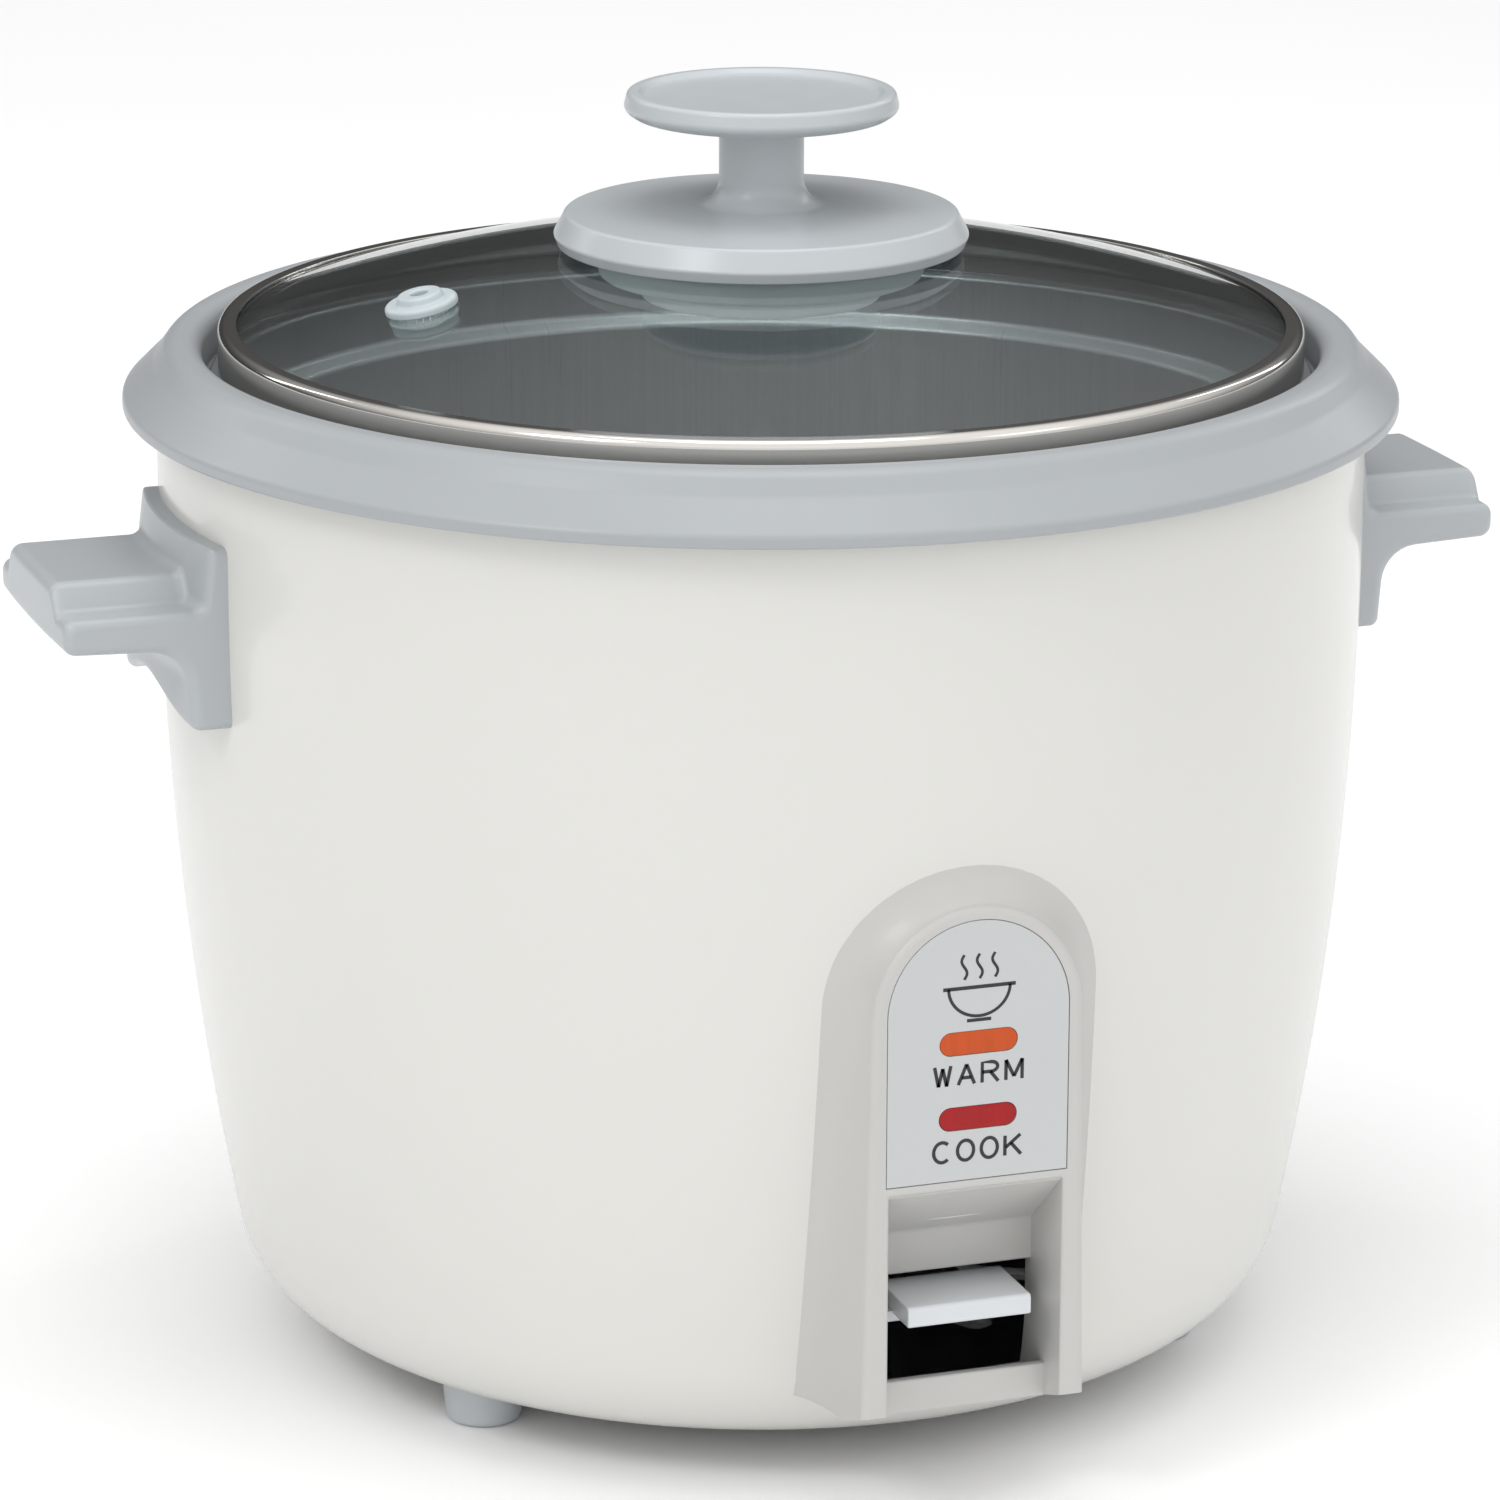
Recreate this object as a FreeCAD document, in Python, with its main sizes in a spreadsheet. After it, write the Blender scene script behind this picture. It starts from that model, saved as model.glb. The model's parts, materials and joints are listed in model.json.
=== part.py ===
import FreeCAD, Part

import math
import os

import Sketcher

# One-switch rice cooker.  Millimetres, +Z up, the feet stand on z = 0 under the middle of the pot,
# and the switch panel faces -Y.  The lengths below fill the spreadsheet that drives every piece.

LENGTHS = {
    # outer shell: a straight upper wall, a long shallow curve and a round lower corner
    "shell_radius": 110.0,
    "shell_wall": 1.2,
    "shell_top": 183.0,
    "shell_base": 7.0,
    "shell_knee": 88.0,
    "shell_foot_radius": 94.8,
    "shell_side_bend": 660.0,
    "shell_corner_bend": 21.0,
    "shell_flange_radius": 68.0,
    # rim ring
    "ring_lip_radius": 116.0,
    "ring_lip_base": 177.0,
    "ring_crown": 188.7,
    "ring_throat_radius": 101.5,
    "ring_ledge_radius": 98.9,
    "ring_ledge_top": 180.4,
    # inner liner
    "liner_radius": 96.4,
    "liner_neck_radius": 99.0,
    "liner_step": 164.0,
    "liner_wall": 0.8,
    "liner_floor": 47.0,
    "liner_floor_hole": 58.0,
    # heating plate with its cast-in element
    "plate_radius": 78.0,
    "plate_base": 52.0,
    "plate_top": 61.5,
    "plate_hole_radius": 17.0,
    "element_radius": 52.0,
    "element_tube_radius": 4.0,
    "element_pin_base": 36.0,
    "plate_boss_ring": 66.0,
    "plate_boss_radius": 4.5,
    # pan
    "pan_radius": 94.0,
    "pan_wall": 1.2,
    "pan_base": 61.8,
    "pan_corner": 12.0,
    "pan_step": 170.0,
    "pan_neck_radius": 96.6,
    "pan_rim_radius": 100.4,
    "pan_rim_base": 180.8,
    # lid
    "dome_radius": 307.0,
    "dome_top": 206.0,
    "dome_glass": 4.0,
    "dome_edge_radius": 97.0,
    "dome_hole_radius": 4.6,
    "band_radius": 98.7,
    "band_wall": 0.6,
    "band_base": 182.3,
    "band_top": 191.4,
    "knob_disc_radius": 25.0,
    "knob_top": 233.0,
    "knob_disc_thickness": 4.6,
    "knob_stem_radius": 7.7,
    "knob_skirt_radius": 37.7,
    "knob_skirt_top": 211.0,
    "knob_skirt_base": 205.0,
    "vent_ring": 66.4,
    "vent_radius": 6.6,
    "vent_neck_radius": 4.6,
    "vent_hole_radius": 1.6,
    # feet and base plate
    "foot_ring": 76.0,
    "foot_radius": 7.6,
    "foot_tip_radius": 6.8,
    "base_plate_radius": 74.3,
    "base_screw_ring": 71.0,
    "base_plate_thickness": 1.2,
    "vent_slot_near": 34.0,
    "vent_slot_far": 56.0,
    "vent_slot_half_width": 3.0,
    # handles
    "handle_half_width": 25.0,
    "handle_reach": 137.0,
    "handle_ledge": 151.4,
    "handle_plateau": 156.2,
    "handle_plateau_half_width": 15.5,
    "handle_under": 144.2,
    "handle_plate_base": 129.5,
    "handle_plate_top": 162.5,
    "handle_plate_face": 116.8,
    # switch housing on the front
    "front_plane": 114.0,
    "front_wall": 2.2,
    "arch_centre": 93.6,
    "arch_radius": 19.2,
    "housing_foot_half_width": 20.6,
    "housing_base": 22.4,
    "label_half_width": 16.5,
    "label_base": 64.0,
    "label_thickness": 0.5,
    "recess_half_width": 15.9,
    "recess_top": 62.4,
    "slot_plane": 99.5,
    "slot_top": 42.4,
    "sill_plane": 106.6,
    "sill_top": 25.4,
    # lamps
    "window_half_length": 7.1,
    "window_half_height": 2.1,
    "window_warm": 88.7,
    "window_cook": 75.2,
    "lamp_radius": 2.5,
    "lamp_length": 13.0,
    "lamp_plane": 105.6,
    # switch lever and key
    "pivot_setback": 42.0,
    "pivot_height": 34.0,
    "pivot_radius": 2.0,
    "running_fit": 0.05,
    "key_half_width": 11.4,
    "key_front": 111.5,
    "key_back": 96.5,
    "key_base": 36.9,
    "key_thickness": 3.7,
    "key_lip_front": 104.0,
    "key_lip_back": 100.0,
    "key_lip_drop": 1.4,
    "key_lip_half_width": 14.2,
    "lever_half_width": 5.0,
    "lever_thickness": 2.0,
    # thermostat at the middle of the plate
    "can_radius": 15.5,
    "can_wall": 0.6,
    "can_top": 61.5,
    "can_base": 49.0,
    "ferrite_radius": 14.6,
    "ferrite_base": 55.3,
    "magnet_radius": 7.0,
    "magnet_top": 48.8,
    "carrier_base": 40.0,
    "carrier_radius": 11.0,
    "rod_radius": 2.0,
    "frame_base": 44.0,
    "frame_thickness": 1.5,
    # strip heater that keeps the rice warm
    "heater_base": 70.0,
    "heater_top": 92.0,
    "heater_thickness": 2.0,
    # appliance inlet at the back
    "inlet_height": 34.0,
    "inlet_half_width": 14.0,
    "inlet_half_height": 10.5,
    "inlet_face": 103.5,
    # fasteners
    "screw_radius": 1.5,
    "screw_head_radius": 3.0,
    "screw_head_height": 1.8,
}

FOOT_ANGLES = (-150.0, -30.0, 90.0)
BOSS_ANGLES = (30.0, 150.0, 270.0)
BASE_SCREW_ANGLES = (-90.0, 30.0, 150.0)
VENT_SLOTS = 12
HEATER_SWEEP = 50.0
PARTS_FOLDER = "parts"

document = FreeCAD.newDocument("RiceCooker")
sheet = document.addObject("Spreadsheet::Sheet", "sizes")
for row, (alias, length) in enumerate(LENGTHS.items(), start=1):
    sheet.set(f"A{row}", alias)
    sheet.set(f"B{row}", str(length))
    sheet.setAlias(f"B{row}", alias)
document.recompute()


class Size:
    """A number together with the spreadsheet expression that it follows."""

    def __init__(self, number, text=None):
        self.number = float(number)
        self.text = repr(float(number)) if text is None else text

    def __add__(self, other):
        other = as_size(other)
        return Size(self.number + other.number, f"({self.text} + {other.text})")

    def __sub__(self, other):
        other = as_size(other)
        return Size(self.number - other.number, f"({self.text} - {other.text})")

    def __rsub__(self, other):
        return as_size(other) - self

    def __mul__(self, other):
        other = as_size(other)
        return Size(self.number * other.number, f"({self.text} * {other.text})")

    def __truediv__(self, other):
        other = as_size(other)
        return Size(self.number / other.number, f"({self.text} / {other.text})")

    def __neg__(self):
        return Size(-self.number, f"(0 - {self.text})")

    __radd__ = __add__
    __rmul__ = __mul__


def as_size(item):
    return item if isinstance(item, Size) else Size(item)


def root(item):
    return Size(math.sqrt(item.number), f"sqrt({item.text})")


class Sheet:
    """Reads the spreadsheet: sizes.name is a Size bound to that cell."""

    def __getattr__(self, alias):
        return Size(getattr(sheet, alias), f"{sheet.Name}.{alias}")


sizes = Sheet()
NODES = []


def keep(piece, label):
    """Give a finished piece its label and put it on the export list."""
    piece.Label = label
    NODES.append(piece)
    return piece


def bind(item, path, size):
    item.setExpression(path, as_size(size).text)


# ---- sketches -----------------------------------------------------------------------------------

def new_body(label):
    return keep(document.addObject("PartDesign::Body", f"{label}_body"), label)


def new_sketch(body, role="XZ_Plane", offset=None):
    """A sketch on one of the body's own origin planes, moved along its normal by offset."""
    sketch = body.newObject("Sketcher::SketchObject", "outline")
    plane = next(item for item in body.Origin.OriginFeatures if item.Role == role)
    sketch.AttachmentSupport = [(plane, "")]
    sketch.MapMode = "FlatFace"
    if offset is not None:
        bind(sketch, "AttachmentOffset.Base.z", offset)
    document.recompute()
    return sketch


def pin_point(sketch, element, place, across, up):
    """Fix a sketch point's two coordinates to their sizes."""
    for kind, size in (("DistanceX", across), ("DistanceY", up)):
        size = as_size(size)
        index = sketch.addConstraint(Sketcher.Constraint(kind, -1, 1, element, place, size.number))
        bind(sketch, f"Constraints[{index}]", size)


def corner_arc(before, corner, after, radius):
    """Tangent points, centre and turning direction of a rounded corner."""
    inward = (before - corner).normalize()
    outward = (after - corner).normalize()
    half_angle = inward.getAngle(outward) / 2
    setback = radius / math.tan(half_angle)
    start = corner + inward * setback
    end = corner + outward * setback
    centre = corner + (inward + outward).normalize() * (radius / math.sin(half_angle))
    turn = (corner - before).cross(after - corner).z
    return start, end, centre, turn > 0


def draw_outline(sketch, corners):
    """A closed outline whose corners are (across, up) or (across, up, rounding radius)."""
    points = [FreeCAD.Vector(as_size(c[0]).number, as_size(c[1]).number, 0) for c in corners]
    count = len(corners)
    starts, ends, arcs = {}, {}, {}
    for i, corner in enumerate(corners):
        starts[i] = ends[i] = points[i]
        if len(corner) == 3:
            radius = as_size(corner[2]).number
            arcs[i] = corner_arc(points[i - 1], points[i], points[(i + 1) % count], radius)
            starts[i], ends[i] = arcs[i][0], arcs[i][1]
    lines = [sketch.addGeometry(Part.LineSegment(ends[i], starts[(i + 1) % count])) for i in range(count)]
    for i, corner in enumerate(corners):
        before, after = lines[i - 1], lines[i]
        if i not in arcs:
            sketch.addConstraint(Sketcher.Constraint("Coincident", before, 2, after, 1))
            pin_point(sketch, after, 1, corner[0], corner[1])
            continue
        start, end, centre, left_turn = arcs[i]
        first, last = (start, end) if left_turn else (end, start)
        angles = [math.atan2(p.y - centre.y, p.x - centre.x) for p in (first, last)]
        radius = as_size(corner[2])
        circle = Part.Circle(centre, FreeCAD.Vector(0, 0, 1), radius.number)
        arc = sketch.addGeometry(Part.ArcOfCircle(circle, angles[0], angles[1]))
        near, far = (1, 2) if left_turn else (2, 1)
        sketch.addConstraint(Sketcher.Constraint("Tangent", before, 2, arc, near))
        sketch.addConstraint(Sketcher.Constraint("Tangent", arc, far, after, 1))
        index = sketch.addConstraint(Sketcher.Constraint("Radius", arc, radius.number))
        bind(sketch, f"Constraints[{index}]", radius)
        apex = sketch.addGeometry(Part.Point(points[i]), True)
        pin_point(sketch, apex, 1, corner[0], corner[1])
        sketch.addConstraint(Sketcher.Constraint("PointOnObject", apex, 1, before))
        sketch.addConstraint(Sketcher.Constraint("PointOnObject", apex, 1, after))
    return sketch


def draw_circle(sketch, across, up, radius):
    centre = FreeCAD.Vector(as_size(across).number, as_size(up).number, 0)
    circle = sketch.addGeometry(Part.Circle(centre, FreeCAD.Vector(0, 0, 1), as_size(radius).number))
    pin_point(sketch, circle, 3, across, up)
    index = sketch.addConstraint(Sketcher.Constraint("Radius", circle, as_size(radius).number))
    bind(sketch, f"Constraints[{index}]", radius)
    return sketch


def draw_box(sketch, left, right, low, high):
    return draw_outline(sketch, [(left, low), (right, low), (right, high), (left, high)])


# ---- features -----------------------------------------------------------------------------------

def revolve(body, sketch, kind="PartDesign::Revolution"):
    """Turn a sketch on the XZ plane round the Z axis, adding or (as a Groove) cutting."""
    turned = body.newObject(kind, "turned")
    turned.Profile = sketch
    turned.ReferenceAxis = (sketch, ["V_Axis"])
    turned.Angle = 360.0
    document.recompute()
    return turned


def revolved_body(label, corners):
    body = new_body(label)
    revolve(body, draw_outline(new_sketch(body), corners))
    return body


def pad(body, sketch, length, reverse=False, both_ways=False):
    raised = body.newObject("PartDesign::Pad", "pad")
    raised.Profile = sketch
    bind(raised, "Length", length)
    raised.Reversed = reverse
    raised.SideType = "Symmetric" if both_ways else "One side"
    document.recompute()
    return raised


def pocket(body, sketch, length, reverse=False, both_ways=False):
    """Cut the sketch's outline out of the body, and make sure that it cuts."""
    before = body.Shape.Volume
    cut = body.newObject("PartDesign::Pocket", "pocket")
    cut.Profile = sketch
    bind(cut, "Length", length)
    cut.Reversed = reverse
    cut.SideType = "Symmetric" if both_ways else "One side"
    document.recompute()
    if body.Shape.Volume > before - 0.01:
        raise ValueError(f"{body.Label}: {cut.Name} cuts nothing")
    return cut


def groove(body, corners):
    before = body.Shape.Volume
    cut = revolve(body, draw_outline(new_sketch(body), corners), "PartDesign::Groove")
    if body.Shape.Volume > before - 0.01:
        raise ValueError(f"{body.Label}: groove cuts nothing")
    return cut


def polar(body, feature, count):
    pattern = body.newObject("PartDesign::PolarPattern", "ring")
    pattern.Originals = [feature]
    axis = next(item for item in body.Origin.OriginFeatures if item.Role == "Z_Axis")
    pattern.Axis = (axis, [""])
    pattern.Angle = 360.0
    pattern.Occurrences = count
    body.Tip = pattern
    document.recompute()
    return pattern


def cylinder(radius, height, place, direction=FreeCAD.Vector(0, 0, 1)):
    """A Part cylinder whose base centre is at place and whose axis runs along direction."""
    piece = document.addObject("Part::Cylinder", "cylinder")
    bind(piece, "Radius", radius)
    bind(piece, "Height", height)
    turn = FreeCAD.Rotation(FreeCAD.Vector(0, 0, 1), direction)
    piece.Placement = FreeCAD.Placement(FreeCAD.Vector(*place), turn)
    return piece


def fuse(pieces):
    joined = document.addObject("Part::MultiFuse", "joined")
    joined.Shapes = pieces
    return joined


def group(label, pieces):
    """Several identical solids that share one node."""
    compound = document.addObject("Part::Compound", "group")
    compound.Links = pieces
    document.recompute()
    return keep(compound, label)


def screw(place, direction, length, head_radius=None, head_height=None, shank_radius=None):
    """A pan-head screw: its head's bearing face is at place and its shank runs along direction."""
    head_radius = head_radius or sizes.screw_head_radius
    head_height = head_height or sizes.screw_head_height
    shank_radius = shank_radius or sizes.screw_radius
    direction = FreeCAD.Vector(*direction).normalize()
    bearing = FreeCAD.Vector(*place)
    head = cylinder(head_radius, head_height, bearing, -direction)
    shank = cylinder(shank_radius, length, bearing, direction)
    return fuse([head, shank])


def around(radius, angle, height):
    """A point on a circle about the Z axis."""
    turn = math.radians(angle)
    return radius * math.cos(turn), radius * math.sin(turn), height


# ---- shell, ring, liner -------------------------------------------------------------------------

def shell_side(gap):
    """Corners of the shell's side, from top to bottom, at a distance inside its outer face."""
    lean = 0.09
    return [
        (sizes.shell_radius - gap, sizes.shell_knee + gap * lean, sizes.shell_side_bend),
        (sizes.shell_foot_radius - gap * (1 + lean), sizes.shell_base + gap,
         sizes.shell_corner_bend - gap),
    ]


def shell_form_corners():
    """Half section of the solid that the shell's outer face encloses."""
    return [
        (0, sizes.shell_base),
        (0, sizes.shell_top),
        (sizes.shell_radius, sizes.shell_top),
        *shell_side(Size(0)),
    ]


def make_outer_shell():
    wall = sizes.shell_wall
    body = revolved_body("outer_shell", [
        (sizes.shell_flange_radius, sizes.shell_base),
        (sizes.shell_flange_radius, sizes.shell_base + wall),
        *reversed(shell_side(wall)),
        (sizes.shell_radius - wall, sizes.shell_top),
        (sizes.shell_radius, sizes.shell_top),
        *shell_side(Size(0)),
    ])
    throat = draw_box(new_sketch(body), -THROAT_HALF_WIDTH - 0.1, THROAT_HALF_WIDTH + 0.1,
                      sizes.housing_base - 3.0, THROAT_TOP + 0.1)
    pocket(body, throat, sizes.shell_radius + 5, reverse=True)
    window = draw_box(new_sketch(body), -13, 13, LAMP_CHAMBER_LOW, LAMP_CHAMBER_HIGH)
    pocket(body, window, sizes.shell_radius + 5, reverse=True)
    for height, depth in HOUSING_SCREWS:
        hole = draw_circle(new_sketch(body), 0, height, sizes.screw_radius)
        pocket(body, hole, depth + 5, reverse=True)
    mouth = draw_box(new_sketch(body), -sizes.inlet_half_width - 0.1, sizes.inlet_half_width + 0.1,
                     sizes.inlet_height - sizes.inlet_half_height - 0.1,
                     sizes.inlet_height + sizes.inlet_half_height + 0.1)
    pocket(body, mouth, sizes.shell_radius + 5)
    inlet_holes = new_sketch(body)
    for across in INLET_SCREWS:
        draw_circle(inlet_holes, across, sizes.inlet_height, sizes.screw_radius)
    pocket(body, inlet_holes, sizes.shell_radius + 5)
    holes = new_sketch(body, "YZ_Plane")
    for across, up in HANDLE_SCREWS:
        draw_circle(holes, across, up, sizes.screw_radius)
    pocket(body, holes, sizes.shell_radius * 2 + 20, both_ways=True)
    flange_holes = new_sketch(body, "XY_Plane")
    for ring, angles in ((sizes.foot_ring, FOOT_ANGLES), (sizes.base_screw_ring, BASE_SCREW_ANGLES)):
        for angle in angles:
            across, up, _ = around(ring.number, angle, 0)
            draw_circle(flange_holes, across, up, sizes.screw_radius)
    pocket(body, flange_holes, sizes.shell_base + 12, reverse=True)
    return body


def make_rim_ring():
    lip = sizes.ring_lip_radius
    crown = sizes.ring_crown
    throat = sizes.ring_throat_radius
    groove_top = sizes.shell_top + 0.1
    outside = sizes.shell_radius + 0.1
    inside = sizes.shell_radius - sizes.shell_wall - 0.1
    ledge_base = sizes.ring_ledge_top - 1.2
    return revolved_body("rim_ring", [
        (lip, sizes.ring_lip_base, 0.5),
        (lip, sizes.ring_lip_base + 2.2, 1.6),
        (lip - 5.6, crown - 4.0, 6.0),
        (lip - 8.5, crown, 3.6),
        (throat, crown, 3.0),
        (throat, sizes.ring_ledge_top, 0.6),
        (sizes.ring_ledge_radius, sizes.ring_ledge_top),
        (sizes.ring_ledge_radius, ledge_base),
        (inside, ledge_base),
        (inside, groove_top),
        (outside, groove_top),
        (outside, sizes.ring_lip_base + 3.6),
        (lip - 2.4, sizes.ring_lip_base),
    ])


def make_inner_liner():
    wall = sizes.liner_wall
    outer = sizes.liner_radius
    neck = sizes.liner_neck_radius
    step = sizes.liner_step
    flange_top = sizes.ring_ledge_top - 1.2
    body = revolved_body("inner_liner", [
        (sizes.liner_floor_hole, sizes.liner_floor),
        (outer, sizes.liner_floor, 4.0),
        (outer, step, 1.5),
        (neck, step + 2.0, 1.5),
        (neck, flange_top - wall, 1.0),
        (neck + 8.6, flange_top - wall),
        (neck + 8.6, flange_top),
        (neck - wall, flange_top, 1.8),
        (neck - wall, step + 2.6, 1.5),
        (outer - wall, step + 0.6, 1.5),
        (outer - wall, sizes.liner_floor + wall, 3.2),
        (sizes.liner_floor_hole, sizes.liner_floor + wall),
    ])
    holes = new_sketch(body, "XY_Plane")
    for angle in BOSS_ANGLES:
        across, up, _ = around(sizes.plate_boss_ring.number, angle, 0)
        draw_circle(holes, across, up, sizes.screw_radius)
    pocket(body, holes, sizes.liner_floor + 5, reverse=True)
    return body


# ---- base and feet ------------------------------------------------------------------------------

def make_base_plate():
    """Stamped plate that lies on the shell's bottom flange, with a ring of vent slots."""
    body = new_body("base_plate")
    near, far = sizes.vent_slot_near, sizes.vent_slot_far
    half = sizes.vent_slot_half_width
    base = sizes.shell_base + sizes.shell_wall
    disc = draw_circle(new_sketch(body, "XY_Plane", base), 0, 0, sizes.base_plate_radius)
    pad(body, disc, sizes.base_plate_thickness)
    slot = draw_outline(new_sketch(body, "XY_Plane", base), [
        (near, -half, half - 0.5), (far, -half, half - 0.5),
        (far, half, half - 0.5), (near, half, half - 0.5)])
    cut = pocket(body, slot, sizes.base_plate_thickness + 1, reverse=True)
    polar(body, cut, VENT_SLOTS)
    holes = new_sketch(body, "XY_Plane", base)
    for angle in BASE_SCREW_ANGLES:
        across, up, _ = around(sizes.base_screw_ring.number, angle, 0)
        draw_circle(holes, across, up, sizes.screw_radius)
    pocket(body, holes, sizes.base_plate_thickness + 1, reverse=True)
    return body


def make_foot(number, angle):
    """Tapered foot whose top follows the shell's round lower corner."""
    place = around(sizes.foot_ring.number, angle, 0)
    cone = document.addObject("Part::Cone", "foot_cone")
    bind(cone, "Radius1", sizes.foot_tip_radius)
    bind(cone, "Radius2", sizes.foot_radius)
    bind(cone, "Height", sizes.shell_base + 4)
    cone.Placement.Base = FreeCAD.Vector(*place)
    hole = cylinder(sizes.screw_radius, sizes.shell_base + 10, (place[0], place[1], -1))
    counterbore = cylinder(sizes.screw_head_radius + 0.4, sizes.shell_base - 3, (place[0], place[1], -1))
    trimmed = document.addObject("Part::Cut", "foot_cut")
    trimmed.Base = cone
    trimmed.Tool = fuse([SHELL_FORM, hole, counterbore])
    document.recompute()
    return keep(trimmed, f"foot_{number}")


def make_shell_form():
    """The shell's outer form as a plain solid, which the pieces on its outside are cut back by."""
    body = document.addObject("PartDesign::Body", "shell_form")
    revolve(body, draw_outline(new_sketch(body), shell_form_corners()))
    return body


def make_base_fasteners():
    head_plane = sizes.shell_base.number - 4
    group("foot_screws", [
        screw(around(sizes.foot_ring.number, angle, head_plane), (0, 0, 1), 7.0) for angle in FOOT_ANGLES])
    plate_top = (sizes.shell_base + sizes.shell_wall + sizes.base_plate_thickness).number
    group("base_screws", [
        screw(around(sizes.base_screw_ring.number, angle, plate_top), (0, 0, -1), 2.4)
        for angle in BASE_SCREW_ANGLES])


# ---- handles ------------------------------------------------------------------------------------

HANDLE_SCREWS = ((-14.0, 147.8), (14.0, 147.8))


def make_handle(label, side):
    """Moulded L-shaped handle: a plate against the shell and a stepped, hollow grip."""
    body = new_body(label)
    half = sizes.handle_half_width
    reach = sizes.handle_reach
    under = sizes.handle_under
    face = sizes.handle_plate_face
    inner = sizes.shell_radius - 12
    profile = [
        (inner, sizes.handle_plate_base),
        (face - 0.8, sizes.handle_plate_base, 2.0),
        (face + 0.6, under, 8.0),
        (reach, under + 0.6, 2.4),
        (reach, sizes.handle_plateau, 2.6),
        (face - 4.4, sizes.handle_plateau, 2.0),
        (face - 5.4, sizes.handle_plate_top, 0.8),
        (inner, sizes.handle_plate_top),
    ]
    corners = [(side * as_size(c[0]), *c[1:]) for c in profile]
    pad(body, draw_outline(new_sketch(body), corners), half * 2, both_ways=True)
    for sign in (-1, 1):
        step = draw_outline(new_sketch(body, "YZ_Plane", side * (face - 1.2)), [
            (sign * sizes.handle_plateau_half_width, sizes.handle_plate_top + 4),
            (sign * sizes.handle_plateau_half_width, sizes.handle_plateau, 2.2),
            (sign * (sizes.handle_plateau_half_width + 3.0), sizes.handle_ledge, 1.6),
            (sign * (half + 2), sizes.handle_ledge),
            (sign * (half + 2), sizes.handle_plate_top + 4),
        ])
        pocket(body, step, reach - face + 6.2, reverse=side > 0)
    hollow = draw_outline(new_sketch(body, "XY_Plane", under - 2), [
        (side * (face + 4.0), -(half - 2.2), 2.0), (side * (reach - 2.4), -(half - 2.2), 2.0),
        (side * (reach - 2.4), half - 2.2, 2.0), (side * (face + 4.0), half - 2.2, 2.0)])
    pocket(body, hollow, sizes.handle_ledge - under + 2 - 2.0, reverse=True)
    holes = new_sketch(body, "YZ_Plane")
    for across, up in HANDLE_SCREWS:
        draw_circle(holes, across, up, sizes.screw_radius)
    pocket(body, holes, sizes.handle_plate_face - 3.2, reverse=side > 0)
    groove(body, shell_form_corners())
    return body


def make_handle_screws():
    inner_face = (sizes.shell_radius - sizes.shell_wall).number
    screws = []
    for side in (-1, 1):
        for across, up in HANDLE_SCREWS:
            depth = math.sqrt(inner_face ** 2 - (abs(across) + sizes.screw_head_radius.number) ** 2)
            screws.append(screw((side * depth, across, up), (side, 0, 0), 5.5))
    group("handle_screws", screws)


# ---- switch housing, label and lamps ------------------------------------------------------------

HOUSING_SCREWS = ((59.5, 107.5), (104.5, 111.6))


def draw_arch(sketch, half_foot, low, radius, centre_up):
    """A tall outline: a flat foot, two sides and a round top that they meet smoothly."""
    foot, top = as_size(half_foot).number, as_size(radius).number
    base, middle = as_size(low).number, as_size(centre_up).number
    slant = math.atan2(base - middle, foot) + math.acos(top / math.hypot(foot, base - middle))
    centre = FreeCAD.Vector(0, middle, 0)
    circle = Part.Circle(centre, FreeCAD.Vector(0, 0, 1), top)
    arc = sketch.addGeometry(Part.ArcOfCircle(circle, slant, math.pi - slant))
    right_join = circle.value(slant)
    left_join = circle.value(math.pi - slant)
    right_foot, left_foot = FreeCAD.Vector(foot, base, 0), FreeCAD.Vector(-foot, base, 0)
    left = sketch.addGeometry(Part.LineSegment(left_join, left_foot))
    bottom = sketch.addGeometry(Part.LineSegment(left_foot, right_foot))
    right = sketch.addGeometry(Part.LineSegment(right_foot, right_join))
    pin_point(sketch, arc, 3, 0, centre_up)
    index = sketch.addConstraint(Sketcher.Constraint("Radius", arc, top))
    bind(sketch, f"Constraints[{index}]", radius)
    pin_point(sketch, bottom, 1, -as_size(half_foot), low)
    pin_point(sketch, bottom, 2, half_foot, low)
    sketch.addConstraint(Sketcher.Constraint("Coincident", left, 2, bottom, 1))
    sketch.addConstraint(Sketcher.Constraint("Coincident", bottom, 2, right, 1))
    sketch.addConstraint(Sketcher.Constraint("Tangent", right, 2, arc, 1))
    sketch.addConstraint(Sketcher.Constraint("Tangent", arc, 2, left, 1))
    return sketch


def pill_corners(height, grow=0.0):
    half_length = sizes.window_half_length + grow
    half_height = sizes.window_half_height + grow
    bend = half_height - 0.02
    return [
        (-half_length, height - half_height, bend),
        (half_length, height - half_height, bend),
        (half_length, height + half_height, bend),
        (-half_length, height + half_height, bend),
    ]


def front_face_name(body, plane):
    """The name of the flat face that lies on the plane y = -plane."""
    for index, face in enumerate(body.Shape.Faces, start=1):
        box = face.BoundBox
        if abs(box.YMin + plane.number) < 0.01 and box.YLength < 0.01:
            return f"Face{index}"
    raise ValueError(f"{body.Label} has no face on y = {-plane.number}")


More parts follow.
